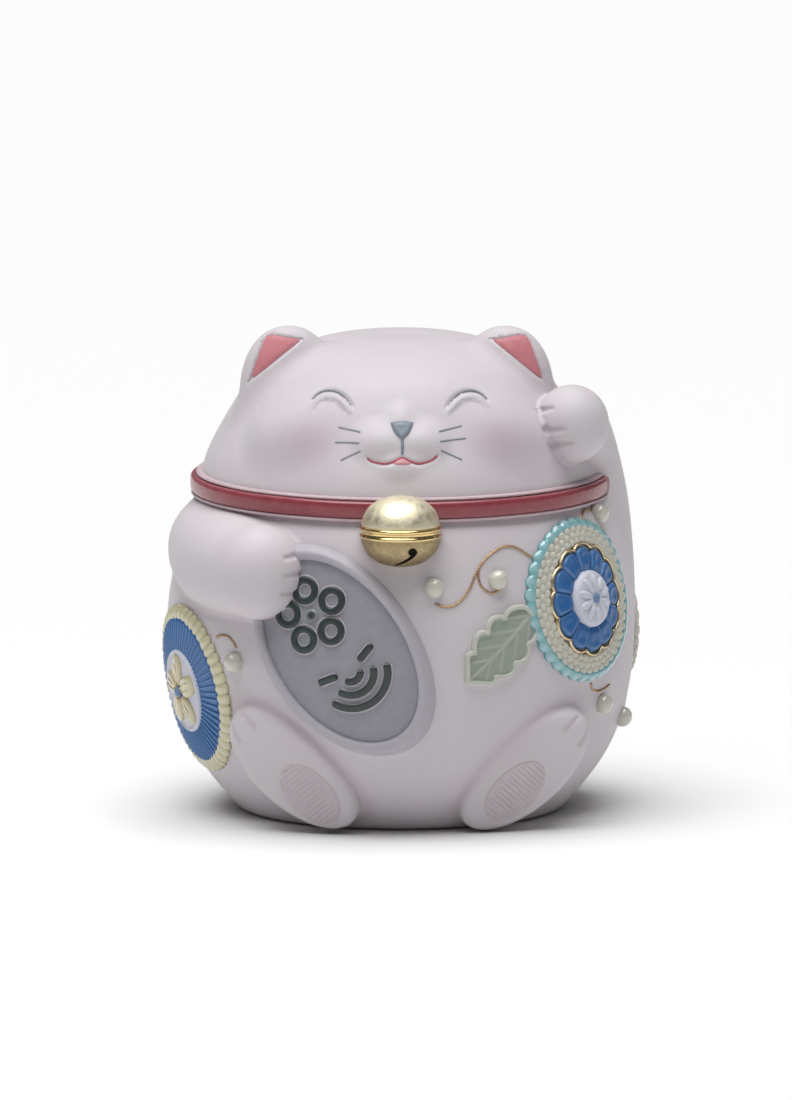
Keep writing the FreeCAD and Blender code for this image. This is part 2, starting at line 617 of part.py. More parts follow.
def bead(azimuth, z):
    """A ball sunk a little into the surface, turned so that its pole points straight out."""
    middle, above = on_body(azimuth, z, BEAD_LIFT), on_body(azimuth, z, BEAD_R)
    return Part.makeSphere(BEAD_R, middle, above - middle)


def sprays(nodes, body):
    """Gilt stems, and the beads at their ends."""
    for name, sites in BEADS.items():
        balls = [bead(azimuth, z) for azimuth, z in sites]
        nodes[f"beads_{name}"] = [largest(b, body) for b in balls]
    for name, curves in STEMS.items():
        found = []
        for points in curves:
            middle = points[len(points) // 2]
            place = frame_at(*middle)
            band = ribbon([to_frame(place, *p) for p in points], STEM_W)
            for stem in relief(band, place, 0.0, STEM_T):
                found += clear_of(stem, *nodes[f"beads_{name}"], *nodes["rosette_a_rim"], *found)
        nodes[f"gilt_stems_{name}"] = found


def build():
    nodes = {}
    body, head = castings(nodes)
    bell(nodes, body, head)
    coin(nodes)
    feet(nodes, body)
    arms(nodes, body, head)
    rosette_a(nodes)
    rosette_b(nodes)
    rosette_c(nodes)
    leaves(nodes)
    sprays(nodes, body)
    return nodes


def export(nodes):
    os.makedirs("parts", exist_ok=True)
    for name, solids in nodes.items():
        shape = solids[0] if len(solids) == 1 else Part.makeCompound(solids)
        shape.exportStep(os.path.join("parts", name + ".step"))


if __name__ == "__main__":
    export(build())
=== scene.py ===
"""Looks of the beckoning cat: a smooth bisque body, with glazed and gilded ornaments laid on it.

Shapes are worked out in millimetres in the frame of the CAD, and made into meshes in metres. The cat's
skin is the zero level of one smooth field, cut into a piece for each casting. An ornament is drawn
flat, in coordinates (u, v, height), and then draped over the body's surface.
"""
import math

import bmesh
import bpy
import numpy as np
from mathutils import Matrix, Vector


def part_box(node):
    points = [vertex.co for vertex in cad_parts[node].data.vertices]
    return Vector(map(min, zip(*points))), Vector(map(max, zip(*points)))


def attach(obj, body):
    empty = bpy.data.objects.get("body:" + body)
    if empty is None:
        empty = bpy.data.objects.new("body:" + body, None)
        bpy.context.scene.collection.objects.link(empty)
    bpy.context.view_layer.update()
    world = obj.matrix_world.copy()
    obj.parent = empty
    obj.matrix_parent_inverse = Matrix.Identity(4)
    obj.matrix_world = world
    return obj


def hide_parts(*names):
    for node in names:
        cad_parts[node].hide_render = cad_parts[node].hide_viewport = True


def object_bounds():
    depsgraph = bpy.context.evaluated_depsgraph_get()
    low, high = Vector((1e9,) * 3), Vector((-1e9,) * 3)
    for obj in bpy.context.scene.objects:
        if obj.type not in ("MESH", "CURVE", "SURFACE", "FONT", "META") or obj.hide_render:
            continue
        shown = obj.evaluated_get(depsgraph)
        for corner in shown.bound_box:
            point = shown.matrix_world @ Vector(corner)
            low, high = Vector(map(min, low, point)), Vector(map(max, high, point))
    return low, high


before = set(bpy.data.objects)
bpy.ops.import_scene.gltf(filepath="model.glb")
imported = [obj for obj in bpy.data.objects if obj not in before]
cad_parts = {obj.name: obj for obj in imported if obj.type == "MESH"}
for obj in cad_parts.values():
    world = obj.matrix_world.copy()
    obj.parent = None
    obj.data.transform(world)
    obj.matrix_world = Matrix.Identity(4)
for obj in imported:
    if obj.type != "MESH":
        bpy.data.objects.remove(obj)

cad_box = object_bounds()

MM = 0.001
TAU = 2 * math.pi
ROOT = "root"
SAME_POINT = 2e-7        # metres


# ---- what the CAD says --------------------------------------------------------------------
def vertices(node):
    """A CAD node's vertices in millimetres."""
    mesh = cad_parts[node].data
    co = np.empty(len(mesh.vertices) * 3)
    mesh.vertices.foreach_get("co", co)
    return co.reshape(-1, 3) / MM


def box(*nodes):
    """Low and high corners, in millimetres, of the box round some CAD nodes."""
    found = [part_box(n) for n in nodes]
    low = np.min([np.array(b[0]) for b in found], 0) / MM
    high = np.max([np.array(b[1]) for b in found], 0) / MM
    return low, high


def centre(*nodes):
    low, high = box(*nodes)
    return (low + high) / 2


SEAM_Z = centre("collar_band")[2]
HEAD_TOP = box("head_shell")[1][2]


def outer_profile():
    """The body's radius as a polynomial in height, from the outermost CAD vertices."""
    co = vertices("body_shell")
    r = np.hypot(co[:, 0], co[:, 1])
    found = []
    for low in np.arange(3.0, SEAM_Z - 1, 3.0):
        near = (co[:, 2] >= low - 1.6) & (co[:, 2] < low + 1.6)
        if near.any():
            best = np.argmax(np.where(near, r, 0))
            found.append((co[best, 2], r[best]))
    z, radius = np.array(found).T
    return np.polynomial.Polynomial.fit(z, radius, 7)


def head_profile():
    """The head's radius from the seam's centre, as a polynomial in the square of cos(angle)."""
    co = vertices("head_shell") - np.array((0, 0, SEAM_Z))
    rho = np.linalg.norm(co, axis=1)
    angle = np.arctan2(co[:, 2], np.hypot(co[:, 0], co[:, 1]))
    found = []
    for low in np.radians(np.arange(0.0, 90.0, 3.0)):
        near = (angle >= low) & (angle < low + math.radians(3.2))
        if near.any():
            best = np.argmax(np.where(near, rho, 0))
            found.append((math.cos(angle[best]) ** 2, rho[best]))
    found += [(0.0, HEAD_TOP - SEAM_Z)] * 6
    share, radius = np.array(found).T
    return np.polynomial.Polynomial.fit(share, radius, 5)


BODY_R = outer_profile()
BODY_SLOPE = BODY_R.deriv()
HEAD_R = head_profile()


# ---- fields: negative inside, roughly in millimetres --------------------------------------
def smooth_min(a, b, k):
    h = np.clip(0.5 + 0.5 * (b - a) / k, 0, 1)
    return b + (a - b) * h - k * h * (1 - h)


def smooth_max(a, b, k):
    return -smooth_min(-a, -b, k)


def ellipsoid(p, middle, halves, turn=None):
    """Distance to an ellipsoid, near enough, with turn's rows as its axes."""
    q = p - middle
    if turn is not None:
        q = q @ np.asarray(turn).T
    q = q / halves
    k0 = np.linalg.norm(q, axis=-1)
    k1 = np.linalg.norm(q / halves, axis=-1)
    return k0 * (k0 - 1) / np.maximum(k1, 1e-6)


def spline(points, count):
    """Points along a smooth curve through some points of any dimension."""
    pts = np.asarray(points, float)
    ends = np.vstack([2 * pts[0] - pts[1], pts, 2 * pts[-1] - pts[-2]])
    t = np.linspace(0, len(pts) - 1 - 1e-9, count)
    i = t.astype(int)
    f = (t - i)[:, None]
    a, b, c, d = ends[i], ends[i + 1], ends[i + 2], ends[i + 3]
    return 0.5 * (2 * b + (c - a) * f + (2 * a - 5 * b + 4 * c - d) * f ** 2
                  + (3 * b - a - 3 * c + d) * f ** 3)


def run_along(points):
    """How far each point of a line is from its first, along it."""
    return np.r_[0, np.cumsum(np.linalg.norm(np.diff(points, axis=0), axis=1))]


def around(count):
    """Angles evenly spaced round a circle."""
    return np.linspace(0, TAU, count, endpoint=False)


def turned(degrees):
    """Cosine and sine of an angle in degrees."""
    return math.cos(math.radians(degrees)), math.sin(math.radians(degrees))


FAR = 60.0               # what a field says where it isn't worked out


def only_near(p, low, high, rule):
    """A field worked out inside a box only, and far off elsewhere."""
    flat = p.reshape(-1, 3)
    near = ((flat > low) & (flat < high)).all(1)
    out = np.full(len(flat), FAR)
    if near.any():
        out[near] = rule(flat[near])
    return out.reshape(p.shape[:-1])


def limb(p, path, reach=14.0):
    """Distance to a limb along rows of x, y, z, radius."""
    def rule(q):
        best = np.full(len(q), FAR)
        for a, b in zip(path[:-1], path[1:]):
            ab = b[:3] - a[:3]
            h = np.clip((q - a[:3]) @ ab / (ab @ ab), 0, 1)
            away = q - a[:3] - h[:, None] * ab
            d = np.sqrt(np.einsum("ij,ij->i", away, away)) - (a[3] + (b[3] - a[3]) * h)
            best = np.minimum(best, d)
        return best
    pad = path[:, 3].max() + reach
    return only_near(p, path[:, :3].min(0) - pad, path[:, :3].max(0) + pad, rule)


def body_field(p):
    """The bare body casting."""
    z = np.clip(p[..., 2], 0, SEAM_Z)
    wall = (np.hypot(p[..., 0], p[..., 1]) - BODY_R(z)) / np.hypot(1, BODY_SLOPE(z))
    return np.maximum(smooth_max(wall, -p[..., 2], 3.0), p[..., 2] - SEAM_Z)


CROWN_DROP = 3.2         # how far the crown lies below the casting's fitted profile


def head_field(p):
    """The bare head casting."""
    q = p - np.array((0, 0, SEAM_Z))
    r2 = q[..., 0] ** 2 + q[..., 1] ** 2
    up2 = np.maximum(q[..., 2], 0) ** 2
    share = r2 / np.maximum(r2 + up2, 1e-6)
    return np.sqrt(r2 + q[..., 2] ** 2) - HEAD_R(share) + CROWN_DROP * (1 - share) ** 3


# ---- places on the body's surface ---------------------------------------------------------
def azimuth_of(point):
    return math.atan2(point[0], -point[1])


def body_point(azimuth, z, height=0.0):
    """Points over the body, by azimuth in radians and height, in millimetres."""
    azimuth, z = np.asarray(azimuth, float), np.asarray(z, float)
    slope = BODY_SLOPE(z)
    length = np.hypot(1, slope)
    r = BODY_R(z) + height / length
    return np.stack([r * np.sin(azimuth), -r * np.cos(azimuth), z - height * slope / length], -1)


class Place:
    """A flat drawing board, with the field whose surface the drawing is laid on."""

    def __init__(self, origin, n, u, field):
        self.origin, self.field = np.array(origin, float), field
        self.n = np.array(n, float) / np.linalg.norm(n)
        u = np.array(u, float) - self.n * (np.array(u, float) @ self.n)
        self.u = u / np.linalg.norm(u)
        self.v = np.cross(self.n, self.u)

    def on(self, u, v, height):
        """The points over flat (u, v), this high above the surface."""
        u, v, height = np.broadcast_arrays(u, v, height)
        p = self.origin + u[..., None] * self.u + v[..., None] * self.v
        for _ in range(7):
            q = p + self.n * 0.05
            value = self.field(p)
            rate = np.clip((self.field(q) - value) / 0.05, 0.25, 2)
            p = p + self.n * np.clip((height - value) / rate, -12, 12)[..., None]
        return p


def body_place(azimuth, z, turn=0.0, field=body_field):
    """A board that touches the body, turned by some degrees from level."""
    slope = BODY_SLOPE(z)
    n = np.array((math.sin(azimuth), -math.cos(azimuth), -slope)) / math.hypot(1, slope)
    along = np.array((math.cos(azimuth), math.sin(azimuth), 0))
    up = np.cross(n, along)
    c, s = turned(turn)
    return Place(body_point(azimuth, z), n, c * along + s * up, field)


def node_place(node, turn=0.0, field=body_field):
    """A board over the middle of a CAD node."""
    middle = centre(node)
    return body_place(azimuth_of(middle), middle[2], turn, field)


# ---- meshes -------------------------------------------------------------------------------
def add_object(name, mesh):
    """Puts a mesh, lamp or camera into the scene."""
    piece = bpy.data.objects.new(name, mesh)
    bpy.context.scene.collection.objects.link(piece)
    return piece


def face_outwards(mesh, merge=0.0):
    """Turns all faces outwards, and first joins points closer than merge."""
    work = bmesh.new()
    work.from_mesh(mesh)
    if merge:
        bmesh.ops.remove_doubles(work, verts=work.verts, dist=merge)
    bmesh.ops.recalc_face_normals(work, faces=work.faces)
    work.to_mesh(mesh)
    work.free()


def make(name, points, faces, material, tint=None):
    """A mesh piece in metres that rides on the body."""
    mesh = bpy.data.meshes.new(name)
    mesh.from_pydata((np.asarray(points) * MM).tolist(), [], [list(map(int, f)) for f in faces])
    for layer, values in (tint or {}).items():
        mesh.attributes.new(layer, "FLOAT", "POINT").data.foreach_set("value", values.astype(np.float32))
    face_outwards(mesh, SAME_POINT)
    mesh.polygons.foreach_set("use_smooth", [True] * len(mesh.polygons))
    mesh.materials.append(material)
    piece = add_object(name, mesh)
    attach(piece, ROOT)
    return piece


def stand_for(piece, slot, *nodes):
    """Hides the CAD nodes that a piece stands for. Its finish slot is not used."""
    if nodes:
        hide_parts(*nodes)
    return piece


def grid_faces(rows, columns, closed, first=0, flip=False):
    """Quads of a grid of points, whose rows may close on themselves."""
    i, j = np.meshgrid(np.arange(rows - 1), np.arange(columns if closed else columns - 1), indexing="ij")
    k = (j + 1) % columns
    quads = np.stack([i * columns + j, i * columns + k, (i + 1) * columns + k, (i + 1) * columns + j], -1)
    quads = quads.reshape(-1, 4) + first
    return quads[:, ::-1] if flip else quads


def spaced(count, ease=1.0):
    """Shares from 0 to 1, closer together at both ends as ease nears 1."""
    t = np.linspace(0, 1, count)
    return (1 - ease) * t + ease * (1 - np.cos(math.pi * t)) / 2


def shoulder(distance, bevel):
    """0 at an edge, rising along a quarter round to 1 at bevel from it."""
    x = np.clip(distance / bevel, 0, 1)
    return np.sqrt(np.maximum(0, 1 - (1 - x) ** 2))


def joined(last, first):
    """Quads between two rings of vertex numbers."""
    return np.stack([last, np.roll(last, -1), np.roll(first, -1), first], -1)


def between(inner, outer):
    """The outlines of a plain ring, for ring_piece."""
    return lambda theta: (inner + 0 * theta, outer + 0 * theta)


def ring_piece(name, place, reach, height, base, material, turns=360, rows=40, ease=0.85,
               squash=1.0, tints=None):
    """A round ornament between two outlines, whose top is a height over the surface.

    reach(theta) gives inner and outer radius, height(r, theta, share) the top above the base, and
    squash the drawing's v as a share of u, for an oval."""
    theta = around(turns)[None, :]
    low, high = reach(theta)
    share = spaced(rows, ease)[:, None]
    r = low + (high - low) * share
    top = base + height(r, theta, np.broadcast_to(share, r.shape))
    u, v = r * np.cos(theta), r * np.sin(theta) * squash
    upper = place.on(u, v, top)
    few = np.linspace(0, 1, 4)[:, None]
    under_r = low + (high - low) * few
    lower = place.on(under_r * np.cos(theta), under_r * np.sin(theta) * squash, base - 0.35)
    points = np.vstack([upper.reshape(-1, 3), lower.reshape(-1, 3)])
    first = rows * turns
    faces = [grid_faces(rows, turns, True), grid_faces(4, turns, True, first, True)]
    j = np.arange(turns)
    k = (j + 1) % turns
    faces.append(joined((rows - 1) * turns + j, first + 3 * turns + j))
    if np.max(low) > 0.05:
        faces.append(np.stack([k, j, first + j, first + k], -1))
    layers = {}
    for layer, rule in (tints or {}).items():
        values = rule(r, theta, np.broadcast_to(share, r.shape))
        layers[layer] = np.concatenate([np.broadcast_to(values, r.shape).reshape(-1), np.zeros(4 * turns)])
    return make(name, points, np.vstack(faces), material, layers)


def tube_piece(name, strands, material, sides=10):
    """Tubes, each given as centre points, side and up vectors, half width and half height."""
    points, faces, count = [], [], 0
    angle = around(sides)
    for middle, side, up, wide, tall in strands:
        n = len(middle)
        wide, tall = np.broadcast_to(wide, n), np.broadcast_to(tall, n)
        ring = (middle[:, None] + side[:, None] * (wide[:, None] * np.cos(angle))[..., None]
                + up[:, None] * (tall[:, None] * np.sin(angle))[..., None])
        points += [ring.reshape(-1, 3), middle[:1], middle[-1:]]
        faces += grid_faces(n, sides, True, count).tolist()
        for end, row in ((count + n * sides, 0), (count + n * sides + 1, n - 1)):
            ids = count + row * sides + np.arange(sides)
            faces += [[end, a, b] for a, b in zip(ids, np.roll(ids, -1))]
        count += n * sides + 2
    return make(name, np.vstack(points), faces, material)


def strand(middle, normal, wide, tall):
    """One tube's rows from centre points and the surface's normals, with ends drawn in."""
    along = np.gradient(middle, axis=0)
    along /= np.linalg.norm(along, axis=1)[:, None]
    side = np.cross(along, normal)
    side /= np.linalg.norm(side, axis=1)[:, None]
    run = run_along(middle)
    draw = np.maximum(shoulder(np.minimum(run, run[-1] - run), np.max(wide)), 0.02)
    return middle, side, normal, wide * draw, tall * draw


# ---- the cat's skin -----------------------------------------------------------------------
def surface_net(field, low, high, step):
    """Vertices and quads of a field's zero level on a grid."""
    axes = [np.arange(a, b + step, step) for a, b in zip(low, high)]
    grid = np.stack(np.meshgrid(*axes, indexing="ij"), -1)
    values = np.stack([field(layer) for layer in grid])
    within = values < 0
    cells = tuple(n - 1 for n in within.shape)
    count = sum(within[i:i + cells[0], j:j + cells[1], k:k + cells[2]].astype(np.int8)
                for i in (0, 1) for j in (0, 1) for k in (0, 1))
    mixed = (count > 0) & (count < 8)
    index = np.full(cells, -1)
    index[mixed] = np.arange(mixed.sum())
    where = np.argwhere(mixed)
    points = np.array(low) + (where + 0.5) * step
    quads = []
    for axis in range(3):
        a = np.take(within, range(cells[axis]), axis)
        b = np.take(within, range(1, cells[axis] + 1), axis)
        edges = np.argwhere(a != b)
        sign = a[tuple(edges.T)]
        one, two = [x for x in range(3) if x != axis]
        ok = (edges[:, one] > 0) & (edges[:, two] > 0)
        ok &= (edges[:, one] < cells[one]) & (edges[:, two] < cells[two])
        edges, sign = edges[ok], sign[ok]
        corners = []
        for da, db in ((-1, -1), (0, -1), (0, 0), (-1, 0)):
            c = edges.copy()
            c[:, one] += da
            c[:, two] += db
            corners.append(index[tuple(c.T)])
        quad = np.stack(corners, -1)
        flip = sign == (axis == 1)
        quad[flip] = quad[flip][:, ::-1]
        quads.append(quad)
    return points, np.vstack(quads)


def slope_of(field, p, step, here):
    g = np.empty_like(p)
    for axis in range(3):
        d = np.zeros(3)
        d[axis] = step
        g[:, axis] = (field(p + d) - here) / step
    return g


def settle(field, p, rounds=3, limit=1.2):
    """Moves points to the field's zero level."""
    for _ in range(rounds):
        here = field(p)
        g = slope_of(field, p, 0.05, here)
        size = np.maximum((g ** 2).sum(1), 0.04)
        move = -g * (here / size)[:, None]
        far = np.linalg.norm(move, axis=1)
        p = p + move * np.minimum(1, limit / np.maximum(far, 1e-9))[:, None]
    return p


def edge_pairs(quads):
    pairs = np.sort(np.stack([quads, np.roll(quads, -1, 1)], -1).reshape(-1, 2), 1)
    return np.unique(pairs, axis=0, return_inverse=True)


def relax(field, p, quads, rounds=3):
    """Evens out the mesh along its surface."""
    pairs, _ = edge_pairs(quads)
    for _ in range(rounds):
        one, two = pairs.ravel(), pairs[:, ::-1].ravel()
        number = np.bincount(one, minlength=len(p))
        total = np.stack([np.bincount(one, p[two, axis], len(p)) for axis in range(3)], -1)
        p = settle(field, 0.4 * p + 0.6 * total / number[:, None], 1)
    return p


def refine(field, p, quads):
    """Cuts each quad in four."""
    pairs, back = edge_pairs(quads)
    back = back.reshape(len(quads), 4)
    middle = len(p) + back
    heart = len(p) + len(pairs) + np.arange(len(quads))
    points = np.vstack([p, p[pairs].mean(1), p[quads].mean(1)])
    parts = [np.stack([quads[:, i], middle[:, i], heart, middle[:, i - 1]], -1) for i in range(4)]
    return settle(field, points, 2), np.vstack(parts)


def refine_some(field, p, quads, chosen):
    """Cuts the chosen quads in four, and fans the quads next to them out to meet the new points."""
    pairs, back = edge_pairs(quads)
    back = back.reshape(len(quads), 4)
    cut = np.zeros(len(pairs), bool)
    cut[back[chosen]] = True
    number = np.cumsum(cut) - 1 + len(p)
    beside = ~chosen & cut[back].any(1)
    touched = chosen | beside
    heart = np.cumsum(touched) - 1 + len(p) + cut.sum()
    points = np.vstack([p, p[pairs[cut]].mean(1), p[quads[touched]].mean(1)])
    middle = number[back]
    parts = [np.stack([quads[chosen, i], middle[chosen, i], heart[chosen], middle[chosen, i - 1]], -1)
             for i in range(4)]
    fans = []
    for i in range(4):
        a, b, m, h = quads[:, i], quads[:, (i + 1) % 4], middle[:, i], heart
        split = beside & cut[back[:, i]]
        whole = beside & ~cut[back[:, i]]
        fans += [np.stack([a, m, h], -1)[split], np.stack([m, b, h], -1)[split],
                 np.stack([a, b, h], -1)[whole]]
    return settle(field, points, 2), np.vstack([quads[~touched]] + parts), np.vstack(fans)


def ray_front(field, x, z, start=-112.0):
    """Points where a line along +Y, from the front, first meets a field."""
    x, z = np.broadcast_arrays(np.asarray(x, float), np.asarray(z, float))
    p = np.stack([x, np.full(x.shape, start), z], -1)
    for _ in range(70):
        p[..., 1] += 0.7 * np.clip(field(p), -2, 20)
    return p


# limbs follow the boxes of their castings
def path_in(node, rows):
    """A limb's path: shares of a node's box, and radius as a share of its height."""
    low, high = box(node)
    tall = high[2] - low[2]
    pts = [np.r_[low + (high - low) * np.array(r[:3]), r[3] * tall] for r in rows]
    return spline(pts, 36)


BECKON_ARM = path_in("beckoning_arm", [(0.705, 0.775, -0.148, 0.112), (0.599, 0.730, 0.101, 0.168),
                                       (0.494, 0.685, 0.375, 0.193), (0.404, 0.596, 0.624, 0.181),
                                       (0.313, 0.303, 0.798, 0.168), (0.283, -0.034, 0.848, 0.156)])
COIN_ARM = path_in("coin_arm", [(0.549, 1.065, 0.729, 0.289), (0.444, 0.829, 0.571, 0.474),
                                (0.502, 0.522, 0.479, 0.526), (0.665, 0.262, 0.479, 0.513),
                                (0.828, 0.085, 0.492, 0.447)])
TAIL = path_in("tail", [(0.089, -0.025, 0.160, 0.162), (0.270, 0.517, 0.200, 0.192),
                        (0.618, 0.558, 0.302, 0.192), (0.860, 0.392, 0.626, 0.172),
                        (0.844, 0.558, 0.970, 0.132)])
PAW_B_LOW, PAW_B_HIGH = box("beckoning_paw")
PAW_B_HALF = (PAW_B_HIGH[2] - PAW_B_LOW[2]) / 2 * np.array((0.935, 0.954, 1.0))
PAW_B = np.array((PAW_B_HIGH[0] - PAW_B_HALF[0], PAW_B_LOW[1] + PAW_B_HALF[1],
                  (PAW_B_LOW[2] + PAW_B_HIGH[2]) / 2))
PAW_C_LOW, PAW_C_HIGH = box("coin_paw")
PAW_C_HALF = (PAW_C_HIGH[2] - PAW_C_LOW[2]) / 2 * np.array((0.81, 0.75, 0.89))
PAW_C = np.array((PAW_C_LOW[0] + PAW_C_HALF[0], PAW_C_LOW[1] + PAW_C_HALF[1],
                  (PAW_C_LOW[2] + PAW_C_HIGH[2]) / 2))


def head_front(x, z, height=0.0):
    """A point in front of the bare head casting."""
    return ray_front(lambda p: head_field(p) - height, x, z)


EAR_HALF_W, EAR_HALF_D, EAR_LONG = 20.0, 11.5, 30.0
EAR_TILT = math.radians(5)
EAR_DEEP = 1.0           # recess for the lining
EAR_INSIDE = np.array([(-6.2, 24.6), (4.6, 27.4), (7.4, 26.9), (9.2, 24.6), (15.0, 10.6)])   # out, up


def ear_frame(side):
    """An ear's root, and its axes (out, back, up) as rows."""
    low, high = box("ear_left" if side > 0 else "ear_right")
    outer = high[0] if side > 0 else low[0]
    root = np.array((outer - side * EAR_HALF_W * 1.06, (low[1] + high[1]) / 2, high[2] - EAR_LONG))
    c, s = math.cos(EAR_TILT), math.sin(EAR_TILT)
    return root, np.array(((side * c, 0, -s), (0, 1, 0), (side * s, 0, c)))


def ear_field(p, side):
    """A rounded triangular ear."""
    root, _ = EARS[side]
    return only_near(p, root - EAR_LONG - 16, root + EAR_LONG + 16, lambda q: ear_rule(q, side))


def ear_rule(p, side):
    root, turn = EARS[side]
    q = (p - root) @ turn.T
    share = np.clip(q[..., 2] / EAR_LONG, 0, 1.4)
    taper = np.where(share < 1, np.maximum(1 - share ** 2.2, 1e-6) ** 0.5, 1e-3)
    reach = np.sqrt((q[..., 0] / EAR_HALF_W) ** 2 + (q[..., 1] / EAR_HALF_D) ** 2)
    wall = (reach - taper) * EAR_HALF_D * 0.9
    over = np.maximum(q[..., 2] - EAR_LONG, -q[..., 2] - 12)
    return smooth_max(wall, over, 2.5)


EARS = {side: ear_frame(side) for side in (-1, 1)}


def inside_outline(q, corners, soft):
    """1 inside a flat outline with corners all convex, fading out over a width of soft."""
    d = np.full(q.shape[:-1], 1e9)
    for a, b in zip(corners, np.roll(corners, -1, 0)):
        edge = (b - a) / np.linalg.norm(b - a)
        d = np.minimum(d, (q - a) @ np.array((edge[1], -edge[0])))
    return np.clip(0.5 + d / soft, 0, 1)


def ear_recess(p, side):
    root, turn = EARS[side]
    q = (p - root) @ turn.T
    front = np.clip(-q[..., 1] / 3, 0, 1)
    return EAR_DEEP * inside_outline(q[..., (0, 2)], EAR_INSIDE, 1.4) * front


SOLE_FORWARD = 0.45      # how far a sole turns from the body's own slope to the front
FOOT_TURN = 49.0         # degrees from level to the sole's long axis
FOOT_HALF = np.array((31.0, 16.6))
SOLE_UP, SOLE_LEAST = 4.6, 2.6


def foot_place(node):
    """Centre and axes (along, across, out) of a foot's sole, and its side."""
    place = node_place(node)
    side = 1 if place.origin[0] > 0 else -1
    out = (1 - SOLE_FORWARD) * place.n + SOLE_FORWARD * np.array((0, -1.0, 0.05))
    out /= np.linalg.norm(out)
    c, s = turned(FOOT_TURN)
    along = side * c * place.u + s * place.v
    along -= out * (along @ out)
    along /= np.linalg.norm(along)
    return place.origin, np.array((along, np.cross(out, along) * side, out)), side


FEET = {n: foot_place(n) for n in ("foot_left", "foot_right")}


def foot_field(p, node):
    """A flat sole turned to the front, nowhere thinner than its least."""
    middle, turn, _ = FEET[node]
    reach = FOOT_HALF[0] + 14
    return only_near(p, middle - reach, middle + reach, lambda q: foot_rule(q, middle, turn))


def foot_rule(p, middle, turn):
    q = (p - middle) @ turn.T
    side = (np.hypot(q[:, 0] / FOOT_HALF[0], q[:, 1] / FOOT_HALF[1]) - 1) * FOOT_HALF[1]
    sole = smooth_min(q[:, 2] - SOLE_UP, body_field(p) - SOLE_LEAST, 3.0)
    return smooth_max(smooth_max(side, sole, 5.0), -q[:, 2] - 16, 1.0)


MUZZLE_Z = SEAM_Z + 0.385 * (HEAD_TOP - SEAM_Z)
EYE_Z = SEAM_Z + 0.685 * (HEAD_TOP - SEAM_Z)
EYE_X = 26.0


def face_parts():
    """Middles and half sizes of the soft swellings of the face."""
    parts = []
    for side in (-1, 1):
        parts.append((head_front(side * 7.0, MUZZLE_Z, -5.4), np.array((10.5, 9.0, 7.8)), 5.0))
        parts.append((head_front(side * 34.0, MUZZLE_Z - 1.5, -14.5), np.array((22.0, 17.0, 15.5)), 9.0))
    parts.append((head_front(0, MUZZLE_Z - 8.5, -5.0), np.array((8.5, 6.5, 5.0)), 4.0))
    parts.append((head_front(0, MUZZLE_Z + 7.5, -4.2), np.array((4.6, 6.0, 6.2)), 5.0))
    return parts


FACE = face_parts()


def face_line(points, radius, height=0.0):
    """A limb laid on the front of the head through flat (x, z) points."""
    flat = spline(points, 15)
    on = head_front(flat[:, 0], flat[:, 1])
    for _ in range(12):
        on[:, 1] -= 0.8 * (height - swelled_head(on))
    taper = np.sin(np.linspace(0.12, math.pi - 0.12, len(on))) ** 0.5
    return np.column_stack([on, radius * taper])


def swelled_head(p):
    """The head casting with the swellings of its face."""
    f = head_field(p)
    for middle, halves, k in FACE:
        f = smooth_min(f, ellipsoid(p, middle, halves), k)
    return f


EYE_ARC = np.array([(8.0, -2.4), (5.2, -0.1), (1.5, 0.9), (-2.4, 0.3), (-5.6, -1.8), (-7.5, -3.9)])
EYE_SHIFT = -0.4


def eye_arc(side, drop=0.0, wide=1.0):
    """An eye's smiling line in (x, z)."""
    arc = EYE_ARC * np.array((wide, 1)) - np.array((0, drop))
    return arc * np.array((side, 1)) + np.array((side * EYE_X + EYE_SHIFT, EYE_Z))


MOUTH = np.array([(-13.2, 1.3), (-10.5, -0.2), (-6.0, -0.7), (-2.2, 0.4), (0.6, 1.5), (3.4, 0.4),
                  (7.2, -0.7), (11.7, 0.3), (14.4, 2.2)]) + np.array((0, MUZZLE_Z - 5.3))
EYE_LINES = [face_line(eye_arc(side), 0.95) for side in (-1, 1)]
LIDS = [face_line(eye_arc(side, 2.0, 0.93), 1.15) for side in (-1, 1)]
SMILE = [face_line(MOUTH, 0.55)]


def skull_field(p):
    """Head casting with its face and ears."""
    f = swelled_head(p)
    for line in EYE_LINES + SMILE:
        f = smooth_max(f, -limb(p, line, 5.0), 1.5)
    for line in LIDS:
        f = smooth_min(f, limb(p, line, 5.0), 1.3)
    for side in (-1, 1):
        f = smooth_min(f, ear_field(p, side) + ear_recess(p, side), 4.5)
    return f


ARM_BLEND = 2.6          # fillet of slip where the coin arm meets the body


def trunk_field(p):
    """Body casting with feet, coin arm and tail."""
    f = smooth_min(body_field(p), limb(p, TAIL), 4.0)
    arm = smooth_min(limb(p, COIN_ARM), ellipsoid(p, PAW_C, PAW_C_HALF), 8.0)
    f = smooth_min(f, arm, ARM_BLEND)
    for node in FEET:
        f = smooth_min(f, foot_field(p, node), 1.6)
    return f


def bare_field(p):
    """The whole outer skin, before the finger and toe lines are cut."""
    arm = limb(p, BECKON_ARM)
    f = smooth_min(trunk_field(p), arm, 7.0)
    f = smooth_min(f, skull_field(p), 2.0)
    return smooth_min(f, smooth_min(ellipsoid(p, PAW_B, PAW_B_HALF), arm, 5.0), 2.0)


def cat_field(p):
    """The whole outer skin, cut flat at the base."""
    f = bare_field(p)
    for line in CREASES:
        f = smooth_max(f, -limb(p, line, 5.0), 1.7)
    return smooth_max(f, -p[..., 2], 1.0)


CREASE_W = 0.95


